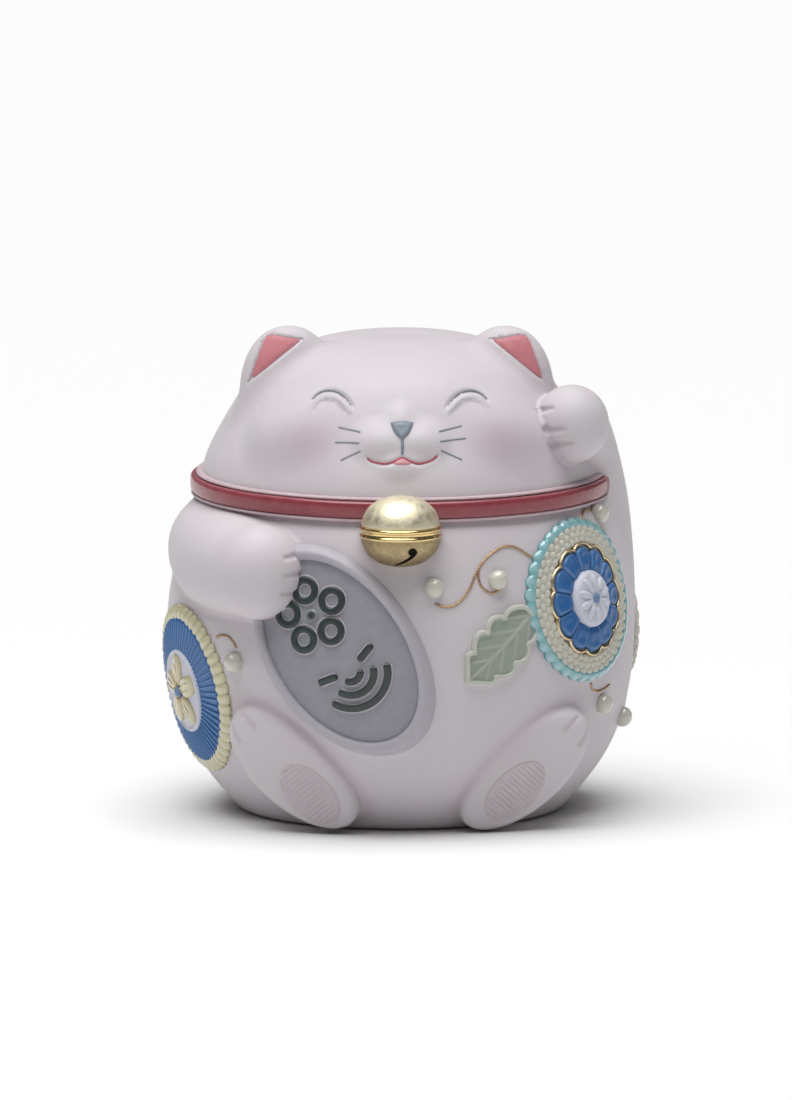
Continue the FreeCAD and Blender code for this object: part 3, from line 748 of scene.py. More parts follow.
def paw_creases(middle, halves, rows):
    """Finger lines: a row is its lift, how that changes, and the turns of its outer and inner ends."""
    lines = []
    for lift, change, outer, inner in rows:
        turn = np.radians(np.linspace(outer, inner, 9))
        up = lift + change * np.linspace(0, 1, 9)
        ring = np.sqrt(1 - up ** 2)
        path = middle + halves * np.stack([np.sin(turn) * ring, -np.cos(turn) * ring, up], -1)
        lines.append(np.column_stack([settle(bare_field, path, 8), CREASE_W * np.linspace(1.2, 0.35, 9)]))
    return lines


def toe_creases(node):
    """Two short lines over the toe end of a sole."""
    middle, turn, _ = FEET[node]
    lines = []
    for across in (-0.30, 0.22):
        flat = np.array([(along, across * (1.5 - 0.6 * along)) for along in (0.74, 0.84, 0.93, 1.0)])
        path = (middle + flat[:, :1] * FOOT_HALF[0] * turn[0] + flat[:, 1:] * FOOT_HALF[1] * turn[1]
                + SOLE_UP * turn[2])
        lines.append(np.column_stack([spline(settle(bare_field, path, 8), 9), np.full(9, 0.42)]))
    return lines


CREASES = (paw_creases(PAW_B, PAW_B_HALF, ((0.40, 0.10, -70, -40), (-0.10, 0.10, -50, -14),
                                           (-0.44, 0.08, -36, -2)))
           + paw_creases(PAW_C, PAW_C_HALF, ((0.46, -0.04, 98, 42), (0.02, 0.0, 96, 38),
                                             (-0.42, 0.05, 92, 36)))
           + toe_creases("foot_left") + toe_creases("foot_right"))


def region_fields(p):
    """How far each casting's own surface is, in the order of the names."""
    return {
        "body_shell": body_field(p), "head_shell": swelled_head(p),
        "ear_right": ear_field(p, -1), "ear_left": ear_field(p, 1),
        "beckoning_arm": limb(p, BECKON_ARM), "beckoning_paw": ellipsoid(p, PAW_B, PAW_B_HALF),
        "coin_arm": limb(p, COIN_ARM), "coin_paw": ellipsoid(p, PAW_C, PAW_C_HALF),
        "foot_right": foot_field(p, "foot_right"), "foot_left": foot_field(p, "foot_left"),
        "tail": limb(p, TAIL),
    }


def shell_piece(name, points, normals, quads, tris, wall, tints, material):
    """A closed shell of even wall under part of a surface."""
    used = np.unique(np.r_[quads.ravel(), tris.ravel()])
    number = np.full(len(points), -1)
    number[used] = np.arange(len(used))
    quads, tris = number[quads], number[tris]
    p, n = points[used], normals[used]
    count = len(p)
    half = np.vstack([np.stack([f, np.roll(f, -1, 1)], -1).reshape(-1, 2) for f in (quads, tris)])
    key = np.sort(half, 1) @ np.array((count, 1))
    _, first, times = np.unique(key, return_index=True, return_counts=True)
    rim = half[first[times == 1]]
    walls = np.stack([rim[:, 1], rim[:, 0], rim[:, 0] + count, rim[:, 1] + count], -1)
    faces = (quads.tolist() + tris.tolist() + (quads[:, ::-1] + count).tolist()
             + (tris[:, ::-1] + count).tolist() + walls.tolist())
    mesh = bpy.data.meshes.new(name)
    mesh.from_pydata((np.vstack([p, p - n * wall]) * MM).tolist(), [], faces)
    for layer, values in tints.items():
        both = np.concatenate([values[used], values[used]]).astype(np.float32)
        mesh.attributes.new(layer, "FLOAT", "POINT").data.foreach_set("value", both)
    mesh.polygons.foreach_set("use_smooth", [True] * len(mesh.polygons))
    mesh.normals_split_custom_set_from_vertices(np.vstack([n, -n]).tolist())
    mesh.materials.append(material)
    piece = add_object(name, mesh)
    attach(piece, ROOT)
    return piece


def detail(p):
    """How far the nearest fine feature of the skin is."""
    found = [limb(p, line, 4.0) for line in CREASES + EYE_LINES + SMILE]
    for side in (-1, 1):
        rim = np.abs(ear_recess(p, side) / EAR_DEEP - 0.5)
        found.append(np.where(rim < 0.45, 0.0, FAR))
    for node in FEET:
        found.append(np.abs(foot_field(p, node) - body_field(p)) + np.abs(foot_field(p, node)))
    return np.min(found, 0)


CHEEK_X, CHEEK_SHIFT, CHEEK_Z = 37.0, 2.0, MUZZLE_Z + 1.0
CHEEK_R = 13.0           # how far the blush spreads


def cat_skin(material, step=3.0, wall=1.6):
    """Meshes the field, finer near its features, and cuts it into one shell for each casting."""
    low = np.array([-101.0, -101.0, -5.0])
    high = np.array([101.0, 103.0, HEAD_TOP + 7.0])
    points, quads = surface_net(cat_field, low, high, step)
    points = settle(cat_field, points, 4)
    points = relax(cat_field, points, quads, 3)
    points, quads = refine(cat_field, points, quads)
    points = relax(cat_field, points, quads, 2)
    points, quads, tris = refine_some(cat_field, points, quads, detail(points[quads].mean(1)) < 1.6)
    here = cat_field(points)
    normals = slope_of(cat_field, points, 0.1, here)
    normals /= np.maximum(np.linalg.norm(normals, axis=1), 1e-6)[:, None]
    own = np.stack(list(region_fields(points).values()))
    label_q = np.argmin(own[:, quads].mean(2), 0)
    label_t = np.argmin(own[:, tris].mean(2), 0)
    own = np.sort(own, 0)
    cheek = np.zeros(len(points))
    for side in (-1, 1):
        spot = head_front(side * CHEEK_X + CHEEK_SHIFT, CHEEK_Z, 2.0)
        away = np.linalg.norm((points - spot) * np.array((1, 0.6, 1.1)), axis=1)
        cheek = np.maximum(cheek, np.exp(-(away / CHEEK_R) ** 2))
    fine = np.min([limb(points, line, 4.0) for line in CREASES], 0)
    # painted shade: darker where two castings meet and along the finger and toe lines
    joint_shade = np.exp(-((own[0] + own[1]) / 2.6) ** 2) * (own[0] > -6)
    tints = {"blush": cheek, "painted_crease_shade": np.maximum(0.7 * joint_shade, 0.8 * np.exp(-(fine / 0.6) ** 2))}
    for i, name in enumerate(region_fields(points[:2])):
        stand_for(shell_piece(name + "_skin", points, normals, quads[label_q == i], tris[label_t == i],
                              wall, tints, material), "bisque", name)


# ---- materials ----------------------------------------------------------------------------
class Paint:
    """Builds one node material for fired ceramic or gilding."""

    def __init__(self, name, colour, rough, coat=0.0, metal=0.0, coat_rough=0.05, sheen=0.0, specular=0.5):
        self.mat = bpy.data.materials.new(name)
        self.mat.use_nodes = True
        self.tree = self.mat.node_tree
        self.shader = self.tree.nodes["Principled BSDF"]
        self.shader.inputs["Base Color"].default_value = (*colour, 1)
        self.shader.inputs["Roughness"].default_value = rough
        self.shader.inputs["Metallic"].default_value = metal
        self.shader.inputs["Coat Weight"].default_value = coat
        self.shader.inputs["Coat Roughness"].default_value = coat_rough
        self.shader.inputs["Sheen Weight"].default_value = sheen
        self.shader.inputs["Specular IOR Level"].default_value = specular
        self.coords = self.tree.nodes.new("ShaderNodeTexCoord").outputs["Object"]
        self.colour, self.rough = (*colour, 1), rough
        self.bump = None

    def node(self, kind, **inputs):
        found = self.tree.nodes.new(kind)
        for key, value in inputs.items():
            key = key.replace("_", " ")
            if isinstance(value, bpy.types.NodeSocket):
                self.tree.links.new(value, found.inputs[key])
            else:
                found.inputs[key].default_value = value
        return found

    def noise(self, size_mm, detail=4.0, rough=0.55, distort=0.0):
        return self.node("ShaderNodeTexNoise", Vector=self.coords, Scale=1 / (size_mm * MM), Detail=detail,
                         Roughness=rough, Distortion=distort).outputs["Fac"]

    def spots(self, size_mm, randomness=1.0):
        return self.node("ShaderNodeTexVoronoi", Vector=self.coords, Scale=1 / (size_mm * MM),
                         Randomness=randomness).outputs["Distance"]

    def layer(self, name):
        found = self.tree.nodes.new("ShaderNodeAttribute")
        found.attribute_name = name
        return found.outputs["Fac"]

    def ramp(self, source, low, high, to_low=0.0, to_high=1.0):
        found = self.tree.nodes.new("ShaderNodeMapRange")
        self.tree.links.new(source, found.inputs["Value"])
        for key, value in (("From Min", low), ("From Max", high), ("To Min", to_low), ("To Max", to_high)):
            found.inputs[key].default_value = value
        return found.outputs["Result"]

    def blend(self, factor, colour):
        """Mixes a colour over what is there, by a factor socket."""
        mix = self.tree.nodes.new("ShaderNodeMix")
        mix.data_type = "RGBA"
        self.tree.links.new(factor, mix.inputs["Factor"])
        if isinstance(self.colour, tuple):
            mix.inputs["A"].default_value = self.colour
        else:
            self.tree.links.new(self.colour, mix.inputs["A"])
        mix.inputs["B"].default_value = (*colour, 1)
        self.colour = mix.outputs["Result"]
        self.tree.links.new(self.colour, self.shader.inputs["Base Color"])
        return self

    def roughness(self, source, low, high):
        self.tree.links.new(self.ramp(source, 0.3, 0.7, low, high), self.shader.inputs["Roughness"])
        return self

    def raise_by(self, source, height_mm, strength=1.0):
        """Adds bump from a height source."""
        found = self.node("ShaderNodeBump", Height=source, Strength=strength, Distance=height_mm * MM)
        if self.bump is not None:
            self.tree.links.new(self.bump, found.inputs["Normal"])
        self.bump = found.outputs["Normal"]
        self.tree.links.new(self.bump, self.shader.inputs["Normal"])
        return self


def bisque():
    """Unglazed porcelain: clouded and freckled, with painted shade in its creases and where castings meet,
    and blush on the cheeks.
    """
    p = Paint("bisque_porcelain", (0.630, 0.584, 0.616), 0.56, sheen=0.05, specular=0.42)
    p.blend(p.ramp(p.noise(34, 3, 0.5), 0.35, 0.70, 0.0, 0.28), (0.665, 0.625, 0.648))
    p.blend(p.ramp(p.noise(2.4, 3, 0.6), 0.45, 0.75, 0.0, 0.12), (0.575, 0.525, 0.560))
    p.blend(p.ramp(p.spots(3.1), 0.0, 0.055, 0.30, 0.0), (0.46, 0.41, 0.44))
    # painted shade in the creases and where castings meet
    p.blend(p.ramp(p.layer("painted_crease_shade"), 0.0, 1.0, 0.0, 0.42), (0.42, 0.33, 0.37))
    p.blend(p.ramp(p.layer("blush"), 0.0, 1.0, 0.0, 0.46), (0.430, 0.300, 0.365))
    p.roughness(p.noise(6, 3), 0.50, 0.62)
    p.raise_by(p.noise(0.5, 4, 0.65), 0.035, 0.6)
    p.raise_by(p.noise(5.5, 3, 0.5), 0.10, 0.4)
    return p.mat


def glaze(name, colour, pool, rough=0.22, coat=0.8, edge=None):
    """Glossy coloured glaze that varies in depth."""
    p = Paint(name, colour, rough, coat=coat, coat_rough=0.06)
    p.blend(p.ramp(p.noise(5.0, 4, 0.6, 0.4), 0.35, 0.7, 0.0, 0.75), pool)
    if edge is not None:
        p.blend(p.ramp(p.layer("edge"), 0.0, 1.0, 0.0, 0.85), edge)
    p.blend(p.ramp(p.spots(2.2), 0.0, 0.06, 0.25, 0.0), tuple(0.6 * c for c in colour))
    p.roughness(p.noise(3, 3), rough * 0.8, rough * 1.3)
    p.raise_by(p.noise(1.6, 3), 0.05, 0.5)
    return p.mat


def slip(name, colour, other, rough=0.55, edge=None, grain=0.5, coat=0.0):
    """Matte or satin coloured slip, mottled, with a fine grain."""
    p = Paint(name, colour, rough, coat=coat, coat_rough=0.2, sheen=0.03)
    p.blend(p.ramp(p.noise(4.0, 4, 0.6), 0.35, 0.7, 0.0, 0.8), other)
    if edge is not None:
        p.blend(p.ramp(p.layer("edge"), 0.0, 1.0, 0.0, 0.9), edge)
    p.roughness(p.noise(2.5, 3), rough * 0.88, rough * 1.1)
    p.raise_by(p.noise(grain, 4, 0.65), 0.04, 0.7)
    return p.mat


def gilding(name, colour, dark, rough, grain_mm, grain_height, worn=0.6):
    """Fired metal with a fine grain, darker where it is worn."""
    p = Paint(name, colour, rough, metal=1.0)
    p.blend(p.ramp(p.noise(grain_mm * 2.2, 5, 0.7), 0.38, 0.66, 0.0, worn), dark)
    p.roughness(p.noise(grain_mm * 3, 3), rough * 0.8, rough * 1.25)
    p.raise_by(p.noise(grain_mm, 3, 0.7), grain_height, 0.8)
    return p.mat


cat_skin(bisque())


# ---- ornament shapes ----------------------------------------------------------------------
def sites_around(count, start, out, long, wide, tall):
    """Sites for pebbles that point outwards, evenly spaced round the middle."""
    turns = [TAU * i / count + start for i in range(count)]
    return [(out * math.cos(a), out * math.sin(a), math.degrees(a), long, wide, tall) for a in turns]


def wave(theta, count, power=1.0):
    """1 in the middle of each of count lobes, 0 between them."""
    return np.abs(np.cos(0.5 * count * theta)) ** power


def along_path(points, step=0.5, closed=False):
    """Points at even steps along a smooth flat curve."""
    pts = np.asarray(points, float)
    if closed:
        fine = np.vstack([pts, pts[:1]])
    else:
        fine = spline(pts, 40 * len(pts))
    run = run_along(fine)
    count = max(6, int(run[-1] / step))
    at = np.linspace(0, run[-1], count, endpoint=not closed)
    return np.stack([np.interp(at, run, fine[:, i]) for i in range(2)], -1)


def ridges(name, place, paths, half, tall, base, material, boxy=1.0, closed=False, sides=14,
           step=0.5, under=0.4):
    """Raised lines that follow flat paths; edge is 1 at their foot."""
    angle = around(sides)
    off = np.sign(np.cos(angle)) * np.abs(np.cos(angle)) ** boxy
    lift = np.where(np.sin(angle) > 0, np.abs(np.sin(angle)) ** boxy, 0)
    sunk = np.where(np.sin(angle) < -1e-6, 1.0, 0.0)
    u, v, h, faces, edge, count = [], [], [], [], [], 0
    for path in paths:
        path = along_path(path, step, closed)
        n = len(path)
        if closed:
            tangent = np.roll(path, -1, 0) - np.roll(path, 1, 0)
        else:
            tangent = np.gradient(path, axis=0)
        tangent /= np.linalg.norm(tangent, axis=1)[:, None]
        run = run_along(path)
        draw = np.ones(n) if closed else np.maximum(shoulder(np.minimum(run, run[-1] - run), half), 0.03)
        wide = (half * draw)[:, None] * off
        u.append(path[:, :1] - tangent[:, 1:] * wide)
        v.append(path[:, 1:] + tangent[:, :1] * wide)
        h.append(base + (tall * draw)[:, None] * lift - under * sunk)
        edge.append(np.broadcast_to(1 - np.clip(lift * 1.6, 0, 1), wide.shape))
        faces += grid_faces(n, sides, True, count).tolist()
        ring = count + np.arange(sides)
        if closed:
            faces += joined(ring + (n - 1) * sides, ring).tolist()
        else:
            faces += [ring.tolist(), (ring + (n - 1) * sides).tolist()]
        count += n * sides
    points = place.on(np.vstack(u), np.vstack(v), np.vstack(h)).reshape(-1, 3)
    return make(name, points, faces, material, {"edge": np.vstack(edge).ravel()})


def pebbles(name, place, sites, base, material, outline=None, dome=None, turns=40, rows=12, under=0.5):
    """Rounded drops of slip; a site is u, v, direction in degrees, half length, half width, height."""
    outline = outline or (lambda a: 1.0)
    dome = dome or (lambda r, a: np.sqrt(np.maximum(0, 1 - r ** 2)))
    a = around(turns)[None, :]
    r = np.sin(np.linspace(0.0, math.pi / 2, rows))[:, None]
    u, v, h, faces, edge, count = [], [], [], [], [], 0
    for x, y, degrees, long, wide, tall in sites:
        c, s = turned(degrees)
        reach = r * (outline(a) + 0 * a)
        p, q = reach * np.cos(a) * long, reach * np.sin(a) * wide
        top = base + tall * dome(np.broadcast_to(r, reach.shape), np.broadcast_to(a, reach.shape))
        u.append(np.vstack([x + p * c - q * s, (x + p * c - q * s)[-1:], x + np.zeros((1, turns))]))
        v.append(np.vstack([y + p * s + q * c, (y + p * s + q * c)[-1:], y + np.zeros((1, turns))]))
        h.append(np.vstack([top, np.full((2, turns), base - under)]))
        edge.append(np.vstack([np.broadcast_to(r ** 3, reach.shape), np.ones((2, turns))]))
        faces += grid_faces(rows + 2, turns, True, count).tolist()
        count += (rows + 2) * turns
    points = place.on(np.vstack(u), np.vstack(v), np.vstack(h)).reshape(-1, 3)
    return make(name, points, faces, material, {"edge": np.vstack(edge).ravel()})


def lathe(name, axis, profile, material, turns=240, wobble=0.0, tint=None):
    """A closed ring of a profile (r, z) round a vertical axis through (x, y)."""
    theta = around(turns)
    profile = np.asarray(profile, float)
    stray = wobble * (np.sin(3 * theta + 1) + 0.7 * np.sin(7 * theta + 2) + 0.5 * np.sin(16 * theta)) / 2
    r = profile[None, :, 0] + stray[:, None]
    z = profile[None, :, 1] + np.roll(stray, turns // 5)[:, None]
    points = np.stack([axis[0] + r * np.sin(theta)[:, None], axis[1] - r * np.cos(theta)[:, None], z], -1)
    n = len(profile)
    ring = np.arange(n)
    faces = np.vstack([grid_faces(turns, n, True), joined((turns - 1) * n + ring, ring)])
    layers = None if tint is None else {"edge": np.tile(tint, turns)}
    return make(name, points.reshape(-1, 3), faces, material, layers)


def rounded_box(r0, r1, z0, z1, bulge, power=0.42, count=36):
    """A ring's section with rounded corners and a bulging face, and 1 at its outer corners."""
    a = around(count)
    c, s = np.cos(a), np.sin(a)
    x, y = np.sign(c) * np.abs(c) ** power, np.sign(s) * np.abs(s) ** power
    r = (r0 + r1) / 2 + (r1 - r0) / 2 * x + bulge * (1 - y ** 2) * (x > 0)
    return np.stack([r, (z0 + z1) / 2 + (z1 - z0) / 2 * y], -1), np.clip(np.abs(y) * 3 - 2.1, 0, 1)


def islands(node, reach=9.0):
    """Middles of a CAD node's separate round solids."""
    left, found = vertices(node), []
    while len(left):
        near = np.linalg.norm(left - left[0], axis=1) < reach
        found.append((left[near].min(0) + left[near].max(0)) / 2)
        left = left[~near]
    return found


# ---- ornaments ----------------------------------------------------------------------------
def collar():
    """Glazed band, and the two plain ridges above and below it."""
    low, high = box("collar_band")
    section, corner = rounded_box(high[0] - 4.5, high[0] - 0.1, low[2], high[2], 0.25)
    stand_for(lathe("collar_glazed_band", (0, 0), section, RED, 300, 0.10, corner), "collar_glaze",
              "collar_band")
    co = vertices("collar_edging")
    rows, faces, count = [], [], 0
    turns, sides = 300, 12
    theta, a = around(turns), around(sides)
    for part in (co[co[:, 2] < SEAM_Z], co[co[:, 2] > SEAM_Z]):
        reach = np.hypot(part[:, 0], part[:, 1]).max()
        z0, z1 = part[:, 2].min(), part[:, 2].max()
        r = reach - 1.6 + 1.7 * np.cos(a)
        z = (z0 + z1) / 2 + (z1 - z0) * 0.56 * np.sin(a)
        soft = 0.10 * np.sin(5 * theta + z0) + 0.06 * np.sin(13 * theta)
        ring = np.stack([(r + soft[:, None]) * np.sin(theta)[:, None],
                         -(r + soft[:, None]) * np.cos(theta)[:, None],
                         np.broadcast_to(z, (turns, sides))], -1).reshape(-1, 3)
        rows.append(ring)
        first = count + np.arange(sides)
        faces += [grid_faces(turns, sides, True, count), joined(first + (turns - 1) * sides, first)]
        count += len(ring)
    stand_for(make("collar_slip_edges", np.vstack(rows), np.vstack(faces), PALE_SLIP), "collar_slip",
              "collar_edging")


def dome_section(radius, z0, z1, wall, rows=26):
    """A hollow half shell's section, from the rim at z0 to the pole at z1."""
    a = np.linspace(0, math.pi / 2, rows)
    tall = z1 - z0
    outer = np.stack([radius * np.cos(a) ** 0.86, z0 + tall * np.sin(a)], -1)
    inner_tall = tall - wall * np.sign(tall)
    inner = np.stack([(radius - wall) * np.cos(a) ** 0.86, z0 + inner_tall * np.sin(a)], -1)
    outer[-1, 0] = inner[-1, 0] = 0
    return np.vstack([outer, inner[::-1]])


BELT_PROUD = 0.9         # how far the belt stands out from the ball
BELL_WALL = 1.6


def bell():
    """Crown, grooved belt, and a cup with a hole and a slit."""
    low, high = box("bell_belt")
    axis = np.array((0.0, low[1] + (high[0] - low[0]) / 2))
    top, bottom = box("bell_crown")[1][2], box("bell_cup")[0][2]
    wide = (high[0] - low[0]) / 2
    ball = wide - BELT_PROUD
    crown = lathe("bell_crown_dome", axis, dome_section(ball, high[2], top, BELL_WALL), GOLD_PALE, 120)
    stand_for(crown, "gilt_pale", "bell_crown")
    tall = high[2] - low[2]
    shape = [(-0.9, 0.0), (0.0, 0.0), (0.6, 0.03), (0.86, 0.10), (0.98, 0.18), (0.86, 0.27), (0.62, 0.31),
             (0.30, 0.36), (0.16, 0.44), (0.14, 0.52), (0.20, 0.60), (0.42, 0.66), (0.74, 0.70),
             (0.96, 0.78), (0.96, 0.88), (0.70, 0.97), (0.10, 1.0), (-0.9, 1.0)]
    section = [(ball + BELT_PROUD * x, low[2] + tall * y) for x, y in shape]
    stand_for(lathe("bell_belt_groove", axis, section, GOLD_BRIGHT, 120), "gilt_bright", "bell_belt")
    cup = lathe("bell_cup_slit", axis, dome_section(ball, low[2], bottom, BELL_WALL),
                GOLD_ANTIQUE, 120)
    hole_z = low[2] + 0.34 * (bottom - low[2])
    cutters = slit_cutters(axis, ball, hole_z, bottom)
    for cutter in cutters:
        cut = cup.modifiers.new("cut", "BOOLEAN")
        cut.object, cut.operation, cut.solver = cutter, "DIFFERENCE", "EXACT"
    bpy.context.view_layer.update()
    done = bpy.data.meshes.new_from_object(cup.evaluated_get(bpy.context.evaluated_depsgraph_get()))
    cup.modifiers.clear()
    cup.data = done
    done.set_sharp_from_angle(angle=math.radians(40))
    for cutter in cutters:
        bpy.data.objects.remove(cutter)
    stand_for(cup, "gilt_antique", "bell_cup")


def slit_cutters(axis, ball, hole_z, bottom):
    """A round hole, and a curved slit that leaves it and narrows."""
    drop = hole_z - bottom
    turn = around(28)
    hole = np.stack([4.6 + 1.75 * np.cos(turn), hole_z + 1.6 * np.sin(turn)], -1)
    t = np.linspace(0, 1, 12)
    spine = np.stack([5.6 - 7.8 * t ** 1.7, hole_z + 0.2 - drop * 0.82 * t ** 0.95], -1)
    across = np.gradient(spine, axis=0)[:, ::-1] * np.array((1, -1))
    across /= np.linalg.norm(across, axis=1)[:, None]
    half = (0.95 - 0.6 * t)[:, None]
    slit = np.vstack([spine + across * half, (spine - across * half)[::-1]])
    found = []
    for i, loop in enumerate((hole, slit)):
        n = len(loop)
        y0, y1 = axis[1] - ball - 4, axis[1] - 2
        points = [(x, y, z) for y in (y0, y1) for x, z in loop]
        faces = [list(range(n)), list(range(2 * n - 1, n - 1, -1))]
        faces += [[j, (j + 1) % n, n + (j + 1) % n, n + j] for j in range(n)]
        mesh = bpy.data.meshes.new("cutter")
        mesh.from_pydata((np.array(points) * MM).tolist(), [], faces)
        face_outwards(mesh)
        found.append(add_object("cutter%d" % i, mesh))
    return found


COIN_TURN, COIN_A, COIN_B, COIN_RIM = -53.0, 46.0, 29.8, 6.6
EMBLEM_R, EMBLEM_OUT, STROKE = 15.5, 17.5, 3.0
EMBLEM_UP, EMBLEM_TALL = 3.1, 1.15
HALO = 0.5               # slip that shows beside a stroke


def coin():
    """The oval coin, with a plum blossom and a fan of waves on it."""
    place = node_place("coin_plate", COIN_TURN)
    squash = COIN_B / COIN_A
    plate = ring_piece("coin_plate_field", place, between(0, COIN_A - 4.6),
                       lambda r, t, s: 3.2 - 0.35 * (1 - s ** 4), 0.0, COIN_FIELD, 200, 36, 0.3, squash)
    stand_for(plate, "coin_field", "coin_plate")

    def section(r, t, s):
        return 5.6 * shoulder(COIN_A - r, 3.4) * (1 - 0.44 * (1 - shoulder(r - (COIN_A - COIN_RIM), 3.0)))
    rim = ring_piece("coin_rim_band", place, between(COIN_A - COIN_RIM, COIN_A), section,
                     0.0, COIN_RIM_SLIP, 260, 30, 0.4, squash)
    stand_for(rim, "coin_rim_slip", "coin_rim")
    lobe, ring = 0.36 * EMBLEM_R, around(90)
    rings, strokes = [], []
    for i in range(5):
        a = math.radians(90 + 72 * i)
        middle = np.array((-EMBLEM_OUT, 0)) + (EMBLEM_R - lobe) * np.array((math.cos(a), math.sin(a)))
        r = lobe - STROKE / 2
        rings.append(middle + r * np.stack([np.cos(ring), np.sin(ring)], -1))
    waves = np.array((EMBLEM_OUT - 0.55 * EMBLEM_R, 0))
    for share in (0.26, 0.60, 0.94):
        a = np.radians(np.linspace(-68, 68, 9))
        strokes.append(waves + share * EMBLEM_R * np.stack([np.cos(a), np.sin(a)], -1))
    for side in (-1, 1):
        a = math.radians(side * 105)
        strokes.append([waves + share * EMBLEM_R * np.array((math.cos(a), math.sin(a)))
                        for share in (0.34, 0.62, 0.90)])
    dot = [(-EMBLEM_OUT, 0, 0, 2.5, 2.5, EMBLEM_TALL)]
    parts = [ridges("coin_emblem_rings", place, rings, STROKE / 2, EMBLEM_TALL, EMBLEM_UP, EMBLEM, 0.5, True),
             ridges("coin_emblem_waves", place, strokes, STROKE / 2, EMBLEM_TALL, EMBLEM_UP, EMBLEM, 0.5),
             pebbles("coin_emblem_dot", place, dot, EMBLEM_UP, EMBLEM, None,
                     lambda r, a: shoulder(1 - r, 0.5))]
    for name, paths, closed in (("ring", rings, True), ("wave", strokes, False)):
        edges = ridges("coin_emblem_%s_edges" % name, place, paths, STROKE / 2 + HALO, 0.5, EMBLEM_UP - 0.1,
                       COIN_RIM_SLIP, 0.7, closed)
        stand_for(edges, "coin_rim_slip")
    stand_for(parts[0], "emblem_glaze", "coin_emblem")
    for other in parts[1:]:
        stand_for(other, "emblem_glaze")


PAD_A, PAD_B, PAD_PITCH = 14.6, 9.4, 1.85
PAD_SLANT = 5.0          # degrees from the sole's long axis
PAD_ASIDE = 1.6          # the most a pad may stand off that axis


def pads():
    """Grooved ovals on the soles."""
    for node in ("foot_pad_right", "foot_pad_left"):
        middle, turn, _ = FEET[node.replace("pad_", "")]
        away = (centre(node) - middle) @ turn.T
        spot = (middle + away[0] * turn[0] + np.clip(away[1], -PAD_ASIDE, PAD_ASIDE) * turn[1]
                + SOLE_UP * turn[2])
        c, s = turned(PAD_SLANT)
        u = c * turn[0] + s * turn[1]
        place = Place(spot, turn[2], u, cat_field)

        def top(r, t, share):
            line = np.abs(np.sin(math.pi * r * np.cos(t) / PAD_PITCH)) ** 0.7
            return shoulder(PAD_A * (1 - share), 1.0) * (0.10 + 0.45 * line)
        pad = ring_piece(node + "_grooved", place, between(0, PAD_A), top, 0.0, PAD,
                         120, 90, 0.1, PAD_B / PAD_A)
        stand_for(pad, "bisque", node)


def linings():
    """Coral inlays in the ears' recesses."""
    for side, node in ((-1, "ear_lining_right"), (1, "ear_lining_left")):
        root, turn = EARS[side]
        middle = EAR_INSIDE.mean(0)
        corners = EAR_INSIDE - middle

        def outline(t):
            ray = np.stack([np.cos(t), np.sin(t)], -1)
            best = np.full(t.shape, 1e3)
            for a, b in zip(corners, np.roll(corners, -1, 0)):
                normal = np.array((b[1] - a[1], a[0] - b[0]))
                if normal @ a < 0:
                    normal = -normal
                rate = ray @ (normal / np.linalg.norm(normal))
                best = np.minimum(best, (a @ normal / np.linalg.norm(normal)) / np.maximum(rate, 1e-3))
            return np.minimum(best, 0.93 * np.max(np.linalg.norm(corners, axis=1)))
        origin = root + turn[0] * middle[0] + turn[2] * middle[1] - turn[1] * 8
        place = Place(origin, -turn[1], turn[0], skull_field)
        flip = np.sign(place.v @ turn[2])

        def reach(t):
            return 0 * t, outline(t * flip) - 0.35
        lining = ring_piece(node + "_slip", place, reach, lambda r, t, s: 0.1 + 0.75 * shoulder(1 - s, 0.35),
                            0.0, PINK, 150, 22, 0.5)
        stand_for(lining, "ear_pink", node)


def rolled(tall, swell, lobes, power, start, reach, ease=0.5):
    """A rim's top for ring_piece: rolled over from edge to edge, and higher in each lobe."""
    def top(r, theta, share):
        return (tall + swell * wave(theta, lobes, power)) * np.sin(math.pi * (start + reach * share)) ** ease
    return top


def egg(a):
    """An outline that is fuller at its outer end."""
    return 1 + 0.16 * np.cos(a)


